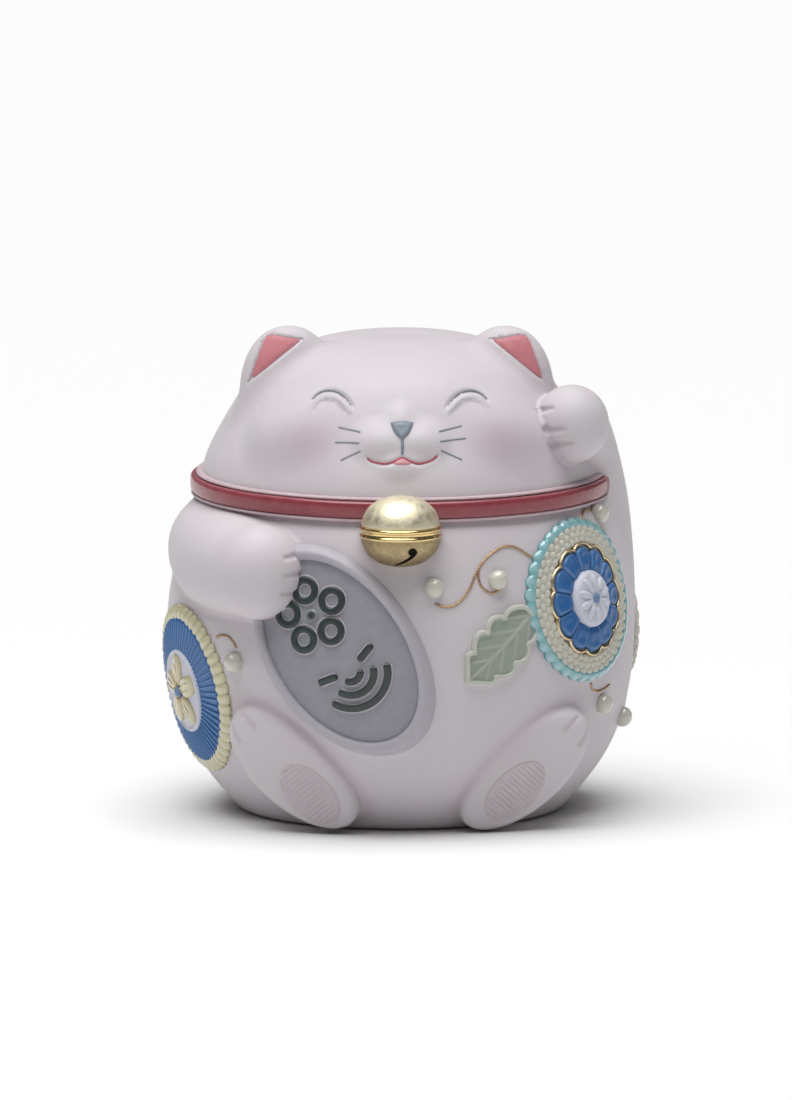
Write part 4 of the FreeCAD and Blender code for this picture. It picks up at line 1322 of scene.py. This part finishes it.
def rosette_a():
    """On the left flank: scalloped turquoise rim, rows of scales, gilt line, twelve petals, domed button."""
    place = node_place("rosette_a_button")
    rim_r, field_r, gilt_r, petal_r, button_r = 32.0, 28.9, 21.6, 20.5, 11.2
    # the rim's tint paints a highlight on each scallop, stronger towards its outer edge
    rim = ring_piece("rosette_a_scalloped_rim", place,
                     lambda t: (field_r - 0.6 + 0 * t, rim_r - 1.1 + 1.1 * wave(t, 36, 0.7)),
                     rolled(1.95, 0.22, 36, 1.0, 0.12, 0.80),
                     0.3, TURQUOISE, 480, 16, 0.6, tints={"edge": lambda r, t, s: 0.8 * wave(t, 36, 3) * s})
    stand_for(rim, "turquoise_glaze", "rosette_a_rim")

    def scales(r, t, s):
        best = np.zeros(r.shape)
        for ring in range(3):
            at = field_r - 1.3 - 2.4 * ring
            count = 44
            phase = (t * count / TAU + 0.5 * (ring % 2)) % 1 - 0.5
            across = phase * TAU * at / count / 2.2
            along = (r - at) / 1.9
            lean = 1.0 + 0.25 * along
            best = np.maximum(best, 1.9 * lean * np.sqrt(np.maximum(0, 1 - across ** 2 - along ** 2)))
        return 0.3 + best
    field = ring_piece("rosette_a_scales", place, between(gilt_r - 4.6, field_r), scales, 0.3,
                       IVORY_MATT, 484, 34, 0.0)
    stand_for(field, "ivory_slip", "rosette_a_field")
    t = around(360)

    def lobes(radius):
        return radius - 1.9 + 1.9 * wave(t, 12, 0.7)
    gilt = lobes(gilt_r + 0.3)[:, None] * np.stack([np.cos(t), np.sin(t)], -1)
    stand_for(ridges("rosette_a_gilt_line", place, [gilt], 0.55, 1.1, 1.7, GILT, 0.9, True, 10, 0.4),
              "gilt_line", "rosette_a_gilt")

    def petal_top(r, t, s):
        side = np.abs((t * 12 / TAU) % 1 - 0.5) * 2
        phase = (t * 12 / TAU) % 1 - 0.5
        crown = (1 - side ** 3.2) ** 0.5
        spoon = 0.75 * np.exp(-((r - 16.6) / 2.7) ** 2) * np.exp(-(phase * 3.6) ** 2)
        rise = 0.45 + 0.55 * np.clip((r - button_r + 1.2) / 3.6, 0, 1)
        return 0.5 + (2.1 + 0.8 * phase) * crown * rise * shoulder(1 - s, 0.20) - spoon

    # painted highlight at the petals' outer ends, and lighter lines along their sides
    def petal_highlight_and_side_lines(r, t, s):
        off = np.abs(((t * 12 / TAU) + 0.5) % 1 - 0.5)
        return 0.5 * np.maximum(s ** 12, np.exp(-((off - 0.42) / 0.05) ** 2))
    petals = ring_piece("rosette_a_twelve_petals", place,
                        lambda t: (button_r - 1.2 + 0 * t, petal_r - 2.6 + 2.6 * wave(t, 12, 0.42)),
                        lambda r, t, s: petal_top(r, t + math.pi / 12, s), 0.8, BLUE, 384, 26, 0.5,
                        tints={"edge": petal_highlight_and_side_lines})
    stand_for(petals, "blue_slip", "rosette_a_petals")
    button = ring_piece("rosette_a_dome", place, between(0, button_r),
                        lambda r, t, s: 2.5 * shoulder(button_r - r, 2.0) + 0.7 * (1 - s ** 2), 2.0,
                        WHITE_SLIP, 120, 20, 0.6)
    stand_for(button, "white_slip", "rosette_a_button")
    sites = sites_around(10, 0.3, 5.7, 3.4, 1.6, 1.6)
    stand_for(pebbles("rosette_a_ten_florets", place, sites, 4.6, WHITE_SLIP, egg), "white_slip",
              "rosette_a_florets")
    stand_for(pebbles("rosette_a_centre", place, [(0, 0, 0, 2.1, 2.1, 1.3)], 5.0, EYE_BLUE), "grey_blue_slip",
              "rosette_a_eye")


def rosette_b():
    """On the right flank: fluted cream rim, sixty blue pleats, and a blossom on a white disc."""
    place = node_place("rosette_b_disc")
    rim_r, pleat_r, disc_r = 33.5, 28.4, 16.6
    rim = ring_piece("rosette_b_fluted_rim", place,
                     lambda t: (pleat_r - 0.8 + 0 * t, rim_r - 1.0 + 1.0 * wave(t, 48, 0.55)),
                     rolled(1.45, 0.5, 48, 1.2, 0.14, 0.78),
                     0.3, CREAM, 576, 16, 0.5, tints={"edge": lambda r, t, s: 1 - wave(t, 48, 0.5)})
    stand_for(rim, "cream_glaze", "rosette_b_rim")

    def pleat(r, t, s):
        phase = (t * 60 / TAU) % 1
        fold = np.where(phase < 0.78, phase / 0.78, (1 - phase) / 0.22)
        return 1.0 + 0.95 * fold ** 0.8 * (0.55 + 0.45 * s)
    pleats = ring_piece("rosette_b_sixty_pleats", place, between(disc_r - 1, pleat_r), pleat,
                        0.3, BLUE, 600, 12, 0.0,
                        tints={"edge": lambda r, t, s: np.clip(((t * 60 / TAU) % 1 - 0.62) * 4, 0, 1)
                               * ((t * 60 / TAU) % 1 < 0.86)})
    stand_for(pleats, "blue_slip", "rosette_b_pleats")
    disc = ring_piece("rosette_b_dish", place, between(0, disc_r),
                      lambda r, t, s: 2.3 * shoulder(disc_r - r, 1.4) - 0.8 * shoulder(disc_r - 1.4 - r, 1.6),
                      0.6, WHITE_SLIP, 160, 34, 0.3)
    stand_for(disc, "white_slip", "rosette_b_disc")
    sites = sites_around(5, 0.35, 7.6, 6.4, 4.3, 1.9)

    def spoon(r, a):
        vein = np.exp(-((np.abs(r * np.sin(a)) - 0.30) / 0.07) ** 2) * (r * np.cos(a) > -0.9) * (r < 0.85)
        return np.sqrt(np.maximum(0, 1 - r ** 2)) * 0.85 + 0.15 - 0.16 * vein - 0.2 * np.exp(-(r / 0.4) ** 2)
    blossom = pebbles("rosette_b_five_petals", place, sites, 2.0, CREAM, egg, spoon, 64, 26)
    stand_for(blossom, "cream_glaze", "rosette_b_blossom")
    lines = []
    for x, y, degrees, *_ in sites:
        c, s = turned(degrees)
        for side in (-1, 1):
            flat_line = [(-4.6, 0.25 * side), (-1.5, 1.25 * side), (1.8, 1.1 * side), (3.9, 0.5 * side)]
            lines.append([(x + a * c - b * s, y + a * s + b * c) for a, b in flat_line])
    veins = ridges("rosette_b_vein_lines", place, lines, 0.26, 0.35, 3.4, GILT, 1.0, False, 8, 0.4,
                   under=0.9)
    stand_for(veins, "gilt_line")
    stand_for(pebbles("rosette_b_centre", place, [(0, 0, 0, 2.1, 2.1, 1.6)], 3.0, EYE_BLUE), "grey_blue_slip",
              "rosette_b_eye")


def rosette_c():
    """At the back of the left flank: roped rim, fourteen petals and a button."""
    place = node_place("rosette_c_rim")
    rim = ring_piece("rosette_c_rope_rim", place, lambda t: (15.2 + 0 * t, 18.2 + 0.8 * wave(t, 30, 0.6)),
                     rolled(1.1, 0.6, 30, 0.8, 0.12, 0.8, 0.6),
                     0.3, IVORY_MATT, 360, 14, 0.6)
    stand_for(rim, "ivory_slip", "rosette_c_rim")

    def petal_top(r, t, s):
        side = np.abs((t * 14 / TAU) % 1 - 0.5) * 2
        return 0.5 + 1.7 * (1 - side ** 2.8) ** 0.5 * shoulder(1 - s, 0.25)
    petals = ring_piece("rosette_c_fourteen_petals", place,
                        lambda t: (4.5 + 0 * t, 14.6 + 1.0 * wave(t, 14, 0.5)),
                        lambda r, t, s: petal_top(r, t + math.pi / 14, s), 0.4, IVORY_MATT, 420, 24, 0.4)
    stand_for(petals, "ivory_slip", "rosette_c_petals")
    button = ring_piece("rosette_c_dome", place, between(0, 6.0),
                        lambda r, t, s: 2.6 * shoulder(6.0 - r, 4.0) + 0.25 * wave(t, 10) * s, 1.0, CREAM,
                        100, 14, 0.6)
    stand_for(button, "cream_glaze", "rosette_c_button")


def leaf_half(s, lobes=4):
    """A leaf's half width, as a share, at a share s of its length."""
    envelope = np.sin(math.pi * np.clip(0.10 + 0.84 * s, 0, 1)) ** 0.75
    phase = np.clip(s * lobes, 0, lobes - 1e-6) % 1
    lobe = np.sin(math.pi * np.clip(phase, 0, 1) ** 0.8) ** 0.55
    return envelope * (0.66 + 0.34 * lobe) * np.clip((1 - s) * 6, 0, 1) ** 0.5


LEAF_VEINS = 4           # on each side of the midrib


def leaf(node, length, half, turn):
    """A lobed leaf with a raised border and a veined blade."""
    place = node_place(node, turn)
    s = np.linspace(0, 1, 80)
    x = (s - 0.5) * length
    w = np.maximum(leaf_half(s) * half, 0.3)
    loop = np.vstack([np.stack([x, w], -1), np.stack([x, -w], -1)[::-1]])
    border = ridges(node + "_border", place, [loop], 1.05, 1.9, 0.1, LEAF_EDGE, 0.8, True, 12, 0.35)
    stand_for(border, "ivory_slip", node)
    rows, columns = 120, 56
    share = np.linspace(0.005, 0.985, rows)[:, None]
    t = np.linspace(-1, 1, columns)[None, :]
    wide = np.maximum(leaf_half(share) * half - 0.1, 0.2)
    u = (share - 0.5) * length + 0 * t
    v = t * wide
    vein = np.exp(-(np.abs(v) / (0.85 - 0.4 * share)) ** 2)
    for i in range(LEAF_VEINS):
        root = (0.02 + 0.22 * i - 0.5) * length
        off = np.abs(np.abs(v) - (u - root) * 0.78) / 1.27
        reach = (u > root) * np.exp(-(off / (0.62 - 0.35 * np.abs(t))) ** 2)
        vein = np.maximum(vein, 0.8 * reach * (np.abs(t) < 0.97))
    top = 0.75 + 0.35 * (1 - np.abs(t) ** 2) + 0.55 * vein + 0.35 * np.abs(t) ** 6
    upper = place.on(u, v, top)
    lower = place.on(u[:, ::columns - 1], v[:, ::columns - 1], -0.3 + 0 * u[:, ::columns - 1])
    points = np.vstack([upper.reshape(-1, 3), lower.reshape(-1, 3)])
    first = rows * columns
    i = np.arange(rows - 1)
    faces = grid_faces(rows, columns, False).tolist()
    faces += np.stack([i * columns, (i + 1) * columns, first + 2 * i + 2, first + 2 * i], -1).tolist()
    faces += np.stack([(i + 1) * columns + columns - 1, i * columns + columns - 1, first + 2 * i + 1,
                       first + 2 * i + 3], -1).tolist()
    faces += np.stack([first + 2 * i, first + 2 * i + 2, first + 2 * i + 3, first + 2 * i + 1], -1).tolist()
    faces.append(list(range(columns)) + [first + 1, first])
    tip = np.arange(columns)[::-1] + (rows - 1) * columns
    faces.append(tip.tolist() + [first + 2 * rows - 2, first + 2 * rows - 1])
    edge = np.r_[np.clip(vein, 0, 1).ravel(), np.zeros(2 * rows)]
    blade = make(node + "_veined_blade", points, faces, SAGE, {"edge": edge})
    stand_for(blade, "sage_slip", node + "_blade")


BEAD_R = 3.9


def beads():
    """Drops of slip, slightly out of round, where the CAD has them."""
    rows, turns = 20, 36
    a, t = around(turns), np.linspace(0.0, math.pi * 0.80, rows)[:, None]
    for node in ("beads_front", "beads_left_side", "beads_right_side"):
        parts, faces, count = [], [], 0
        for spot in islands(node):
            place = body_place(azimuth_of(spot), spot[2])
            r = BEAD_R * np.sin(t) * (1 + 0.02 * np.sin(2 * a + spot[2]))
            h = BEAD_R * (0.30 + 0.92 * np.cos(t)) + 0 * a
            parts.append(place.on(r * np.cos(a), r * np.sin(a), h).reshape(-1, 3))
            faces += grid_faces(rows, turns, True, count).tolist()
            faces.append((count + (rows - 1) * turns + np.arange(turns)).tolist())
            count += rows * turns
        stand_for(make(node + "_drops", np.vstack(parts), faces, IVORY_GLOSS), "ivory_glaze", node)


STEM_W, STEM_T = 0.5, 0.55          # half width and half height
TWIST = 1.35             # length of one turn of the rope
FRONT_STEMS = [[(1.10, 0.69), (1.0, 0.80), (0.86, 0.95), (0.72, 0.97), (0.53, 0.80), (0.42, 0.56),
                (0.34, 0.29), (0.22, 0.07), (0.10, 0.02), (0.01, 0.08)],
               [(0.455, 0.68), (0.44, 0.50), (0.47, 0.33), (0.56, 0.22), (0.67, 0.27)]]
LEFT_STEM_ABOVE = [(0.0, 0.0), (0.12, 0.45), (0.38, 0.9), (0.7, 1.0), (1.0, 0.8)]
LEFT_STEM_BELOW = [(0.03, 0.98), (0.12, 0.35), (0.40, 0.03), (0.75, 0.12), (1.0, 0.35)]
RIGHT_STEM = [(0.0, 0.70), (0.30, 0.97), (0.62, 0.92), (0.90, 0.45), (1.0, 0.02)]


def azimuths(points):
    return np.arctan2(points[:, 0], -points[:, 1])


def stem(co, row):
    """One roped line, by shares of the azimuth and height that some CAD vertices span."""
    azimuth, z = np.degrees(azimuths(co)), co[:, 2]
    path = spline(row, 60)
    angle = np.radians(azimuth.min() + (azimuth.max() - azimuth.min()) * path[:, 0])
    height = z.min() + 0.5 + (z.max() - z.min() - 1.0) * path[:, 1]
    middle = body_point(angle, height, 0.15)
    run = run_along(middle)
    even = np.linspace(0, run[-1], int(run[-1] / 0.22))
    middle = np.stack([np.interp(even, run, middle[:, i]) for i in range(3)], -1)
    turn, z = azimuths(middle), middle[:, 2]
    normal = body_point(turn, z, 1.0) - body_point(turn, z, 0.0)
    twist = 0.78 + 0.22 * np.abs(np.sin(math.pi * even / TWIST))
    return strand(middle, normal, STEM_W * twist, STEM_T * twist)


def stems():
    """Gilt stems on the front and both flanks, in the reach of their CAD nodes."""
    front, left, right = (vertices("gilt_stems_" + side) for side in ("front", "left_side", "right_side"))
    above = left[:, 2] > centre("rosette_a_rim")[2]
    found = {"front": [(front, row) for row in FRONT_STEMS],
             "left_side": [(left[above], LEFT_STEM_ABOVE), (left[~above], LEFT_STEM_BELOW)],
             "right_side": [(right, RIGHT_STEM)]}
    for side, rows in found.items():
        node = "gilt_stems_" + side
        rope = tube_piece(node + "_rope", [stem(co, row) for co, row in rows], GILT_LINE)
        stand_for(rope, "gilt_line", node)


def rounded_triangle(a):
    """An outline with three soft corners, one of them pointing straight up."""
    turn = (a - math.pi / 2) % (TAU / 3) - TAU / 6
    return (0.52 / np.cos(turn)) ** 0.6


def face():
    """Painted lines in low relief, drawn on a board in front of the face."""
    z0 = SEAM_Z + 22
    front = Place((0, -78, z0), (0, -1, 0), (1, 0, 0), cat_field)

    def flat(points):
        return np.asarray(points, float) - np.array((0, z0))
    eyes = [flat(eye_arc(side)) for side in (-1, 1)]
    stand_for(ridges("eye_lines", front, eyes, 0.6, 0.42, -0.25, GREY_LINE, 1.0, step=0.35), "grey_blue_slip")
    stand_for(ridges("smile_line", front, [flat(MOUTH)], 0.5, 0.45, -0.15, MOUTH_PINK, 1.0, step=0.35),
              "ear_pink")
    tongue = [(0.6, MUZZLE_Z - 5.3 - z0 + 0.2, 0, 4.1, 1.7, 0.5)]
    stand_for(pebbles("tongue_tip", front, tongue, -0.1, TONGUE, rounded_triangle), "ear_pink")
    whiskers = [[(-24.3, 6.9), (-20, 6.2), (-15.4, 5.6)], [(-25.6, 1.3), (-20.5, 1.5), (-15.8, 1.7)],
                [(-23.4, -5.2), (-19.6, -3.3), (-15.4, -1.2)], [(14.6, 5.8), (19.2, 6.5), (23.8, 7.4)],
                [(15.0, 2.3), (20.0, 2.5), (25.4, 2.8)], [(15.4, -0.9), (19.6, -3.0), (24.0, -5.0)]]
    lines = [flat(np.array(w) + np.array((0, MUZZLE_Z - 0.2))) for w in whiskers]
    stand_for(ridges("whisker_lines", front, lines, 0.33, 0.22, 0.0, GREY_LINE, 1.0, sides=8, step=0.4),
              "grey_blue_slip")
    tip = MUZZLE_Z + 7.2 - z0
    nose = pebbles("nose_button", front, [(0.5, tip, 180, 5.0, 3.9, 1.2)], 0.0, NOSE, rounded_triangle,
                   lambda r, a: shoulder(1 - r, 0.55) * (0.82 + 0.18 * r ** 2), 72, 18)
    stand_for(nose, "grey_blue_slip")
    below = [[(0.5, tip - 2.6), (0.7, tip - 6.0), (0.6, tip - 9.8)]]
    stand_for(ridges("nose_stem", front, below, 0.6, 0.35, 0.0, NOSE, 1.0, step=0.35), "grey_blue_slip")


# ---- finishes -----------------------------------------------------------------------------
RED = glaze("collar_red_glaze", (0.290, 0.047, 0.062), (0.235, 0.030, 0.044), 0.30, 0.35, (0.34, 0.10, 0.12))
PALE_SLIP = slip("collar_pale_slip", (0.52, 0.40, 0.43), (0.58, 0.47, 0.50), 0.5)
GOLD_PALE = gilding("gilt_pale_satin", (0.86, 0.80, 0.61), (0.74, 0.66, 0.46), 0.54, 0.9, 0.12, 0.5)
GOLD_BRIGHT = gilding("gilt_polished", (0.80, 0.62, 0.30), (0.66, 0.48, 0.20), 0.16, 1.5, 0.03, 0.4)
GOLD_ANTIQUE = gilding("gilt_antique_matte", (0.44, 0.35, 0.20), (0.28, 0.21, 0.11), 0.46, 0.8, 0.12, 0.7)
GILT = gilding("gilt_fine_line", (0.78, 0.64, 0.42), (0.56, 0.42, 0.24), 0.34, 0.6, 0.05, 0.7)
GILT_LINE = gilding("gilt_stem_line", (0.56, 0.38, 0.20), (0.36, 0.22, 0.13), 0.42, 0.6, 0.05, 0.8)
COIN_RIM_SLIP = slip("coin_rim_grey_lavender", (0.43, 0.405, 0.455), (0.47, 0.44, 0.485), 0.55)
COIN_FIELD = slip("coin_field_blue_grey", (0.290, 0.285, 0.325), (0.325, 0.32, 0.36), 0.58)
EMBLEM = slip("emblem_green_black", (0.018, 0.030, 0.028), (0.030, 0.045, 0.042), 0.42, (0.42, 0.44, 0.46),
              0.6, 0.3)
# the lighter edge colour is a painted highlight on the rim's scallops
TURQUOISE = glaze("turquoise_gloss", (0.215, 0.460, 0.490), (0.17, 0.40, 0.44), 0.14, 1.0, (0.45, 0.64, 0.66))
IVORY_MATT = slip("ivory_matt", (0.60, 0.59, 0.51), (0.54, 0.53, 0.46), 0.5)
IVORY_GLOSS = glaze("ivory_gloss", (0.62, 0.60, 0.52), (0.58, 0.56, 0.48), 0.22, 0.9)
# the lighter edge colour is a painted highlight on the twelve petals' ends, and worn paler crests on the
# pleats
BLUE = slip("cobalt_blue", (0.018, 0.112, 0.330), (0.028, 0.140, 0.380), 0.42, (0.16, 0.33, 0.60), 0.6, 0.15)
WHITE_SLIP = slip("lavender_white", (0.60, 0.61, 0.70), (0.66, 0.66, 0.73), 0.5)
CREAM = glaze("cream_gloss", (0.62, 0.58, 0.38), (0.66, 0.62, 0.44), 0.25, 0.8, (0.50, 0.45, 0.27))
EYE_BLUE = slip("centre_blue", (0.14, 0.24, 0.42), (0.18, 0.28, 0.46), 0.45)
PINK = slip("ear_coral_pink", (0.58, 0.195, 0.225), (0.63, 0.245, 0.27), 0.6)
PAD = slip("pad_bisque_pink", (0.565, 0.50, 0.535), (0.60, 0.54, 0.57), 0.6)
LEAF_EDGE = slip("leaf_pale_edge", (0.54, 0.55, 0.49), (0.50, 0.52, 0.46), 0.45)
SAGE = slip("leaf_sage", (0.300, 0.345, 0.290), (0.34, 0.385, 0.33), 0.5, (0.42, 0.45, 0.40))
GREY_LINE = slip("painted_grey", (0.215, 0.240, 0.265), (0.26, 0.28, 0.305), 0.5)
MOUTH_PINK = slip("painted_mouth_red", (0.42, 0.09, 0.12), (0.48, 0.13, 0.16), 0.5)
TONGUE = slip("painted_tongue_pink", (0.58, 0.26, 0.28), (0.62, 0.31, 0.33), 0.45)
NOSE = slip("painted_nose_grey", (0.200, 0.240, 0.290), (0.25, 0.29, 0.335), 0.45)

collar()
bell()
coin()
pads()
linings()
rosette_a()
rosette_b()
rosette_c()
leaf("leaf_front", 37.0, 11.0, 222.0)
leaf("leaf_back", 30.0, 9.0, 200.0)
beads()
stems()
face()


# ---- studio -------------------------------------------------------------------------------
FLOOR = 15.0             # half width, metres
WORLD_LIGHT = 0.10
# name, kind, azimuth, elevation, distance, size (degrees for the sun, metres for the softbox), power
LIGHTS = (("sun", "SUN", -42, 84, 2.0, 56, 3.40), ("softbox", "AREA", -42, 50, 1.4, 0.35, 1.1))
SENSOR = 36.0            # along the frame's long side
CAMERA_AWAY, CAMERA_UP = 9.0, 8.5
FRAME_TALL = 2.276       # frame's height as a share of the crown's height
CAMERA_AIM, CAMERA_RIGHT = 0.534, -0.0018


def studio():
    """Pale floor, soft lights and the camera."""
    points = [(x, y, 0) for x in (-FLOOR, FLOOR) for y in (-FLOOR, FLOOR)]
    mesh = bpy.data.meshes.new("floor")
    mesh.from_pydata(points, [], [(0, 1, 3, 2)])
    floor = add_object("floor", mesh)
    mesh.materials.append(Paint("floor_white", (0.86, 0.86, 0.86), 0.7, specular=0.1).mat)

    world = bpy.data.worlds.new("studio")
    bpy.context.scene.world = world
    world.use_nodes = True
    world.node_tree.nodes["Background"].inputs["Color"].default_value = (0.97, 0.98, 1.0, 1)
    world.node_tree.nodes["Background"].inputs["Strength"].default_value = WORLD_LIGHT

    low, high = (Vector(corner) for corner in cad_box)
    target = (low + high) / 2
    for name, kind, azimuth, elevation, away, size, power in LIGHTS:
        data = bpy.data.lights.new(name, kind)
        if kind == "SUN":
            data.angle = math.radians(size)
        else:
            data.shape, data.size = "DISK", size
        data.energy = power
        lamp = add_object(name, data)
        a, e = math.radians(azimuth), math.radians(elevation)
        lamp.location = target + away * Vector((math.sin(a) * math.cos(e), -math.cos(a) * math.cos(e),
                                                math.sin(e)))
        lamp.rotation_euler = (target - lamp.location).to_track_quat("-Z", "Y").to_euler()

    data = bpy.data.cameras.new("camera")
    camera = add_object("camera", data)
    tall = (HEAD_TOP - low[2] / MM) * MM
    data.sensor_width = SENSOR
    data.lens = SENSOR * CAMERA_AWAY / (tall * FRAME_TALL)
    aim = Vector((CAMERA_RIGHT, 0, tall * CAMERA_AIM))
    e = math.radians(CAMERA_UP)
    camera.location = aim + CAMERA_AWAY * Vector((0, -math.cos(e), math.sin(e)))
    camera.rotation_euler = (aim - camera.location).to_track_quat("-Z", "Y").to_euler()
    data.clip_end = 100
    bpy.context.scene.camera = camera
    bpy.context.scene.view_settings.view_transform = "Standard"


studio()
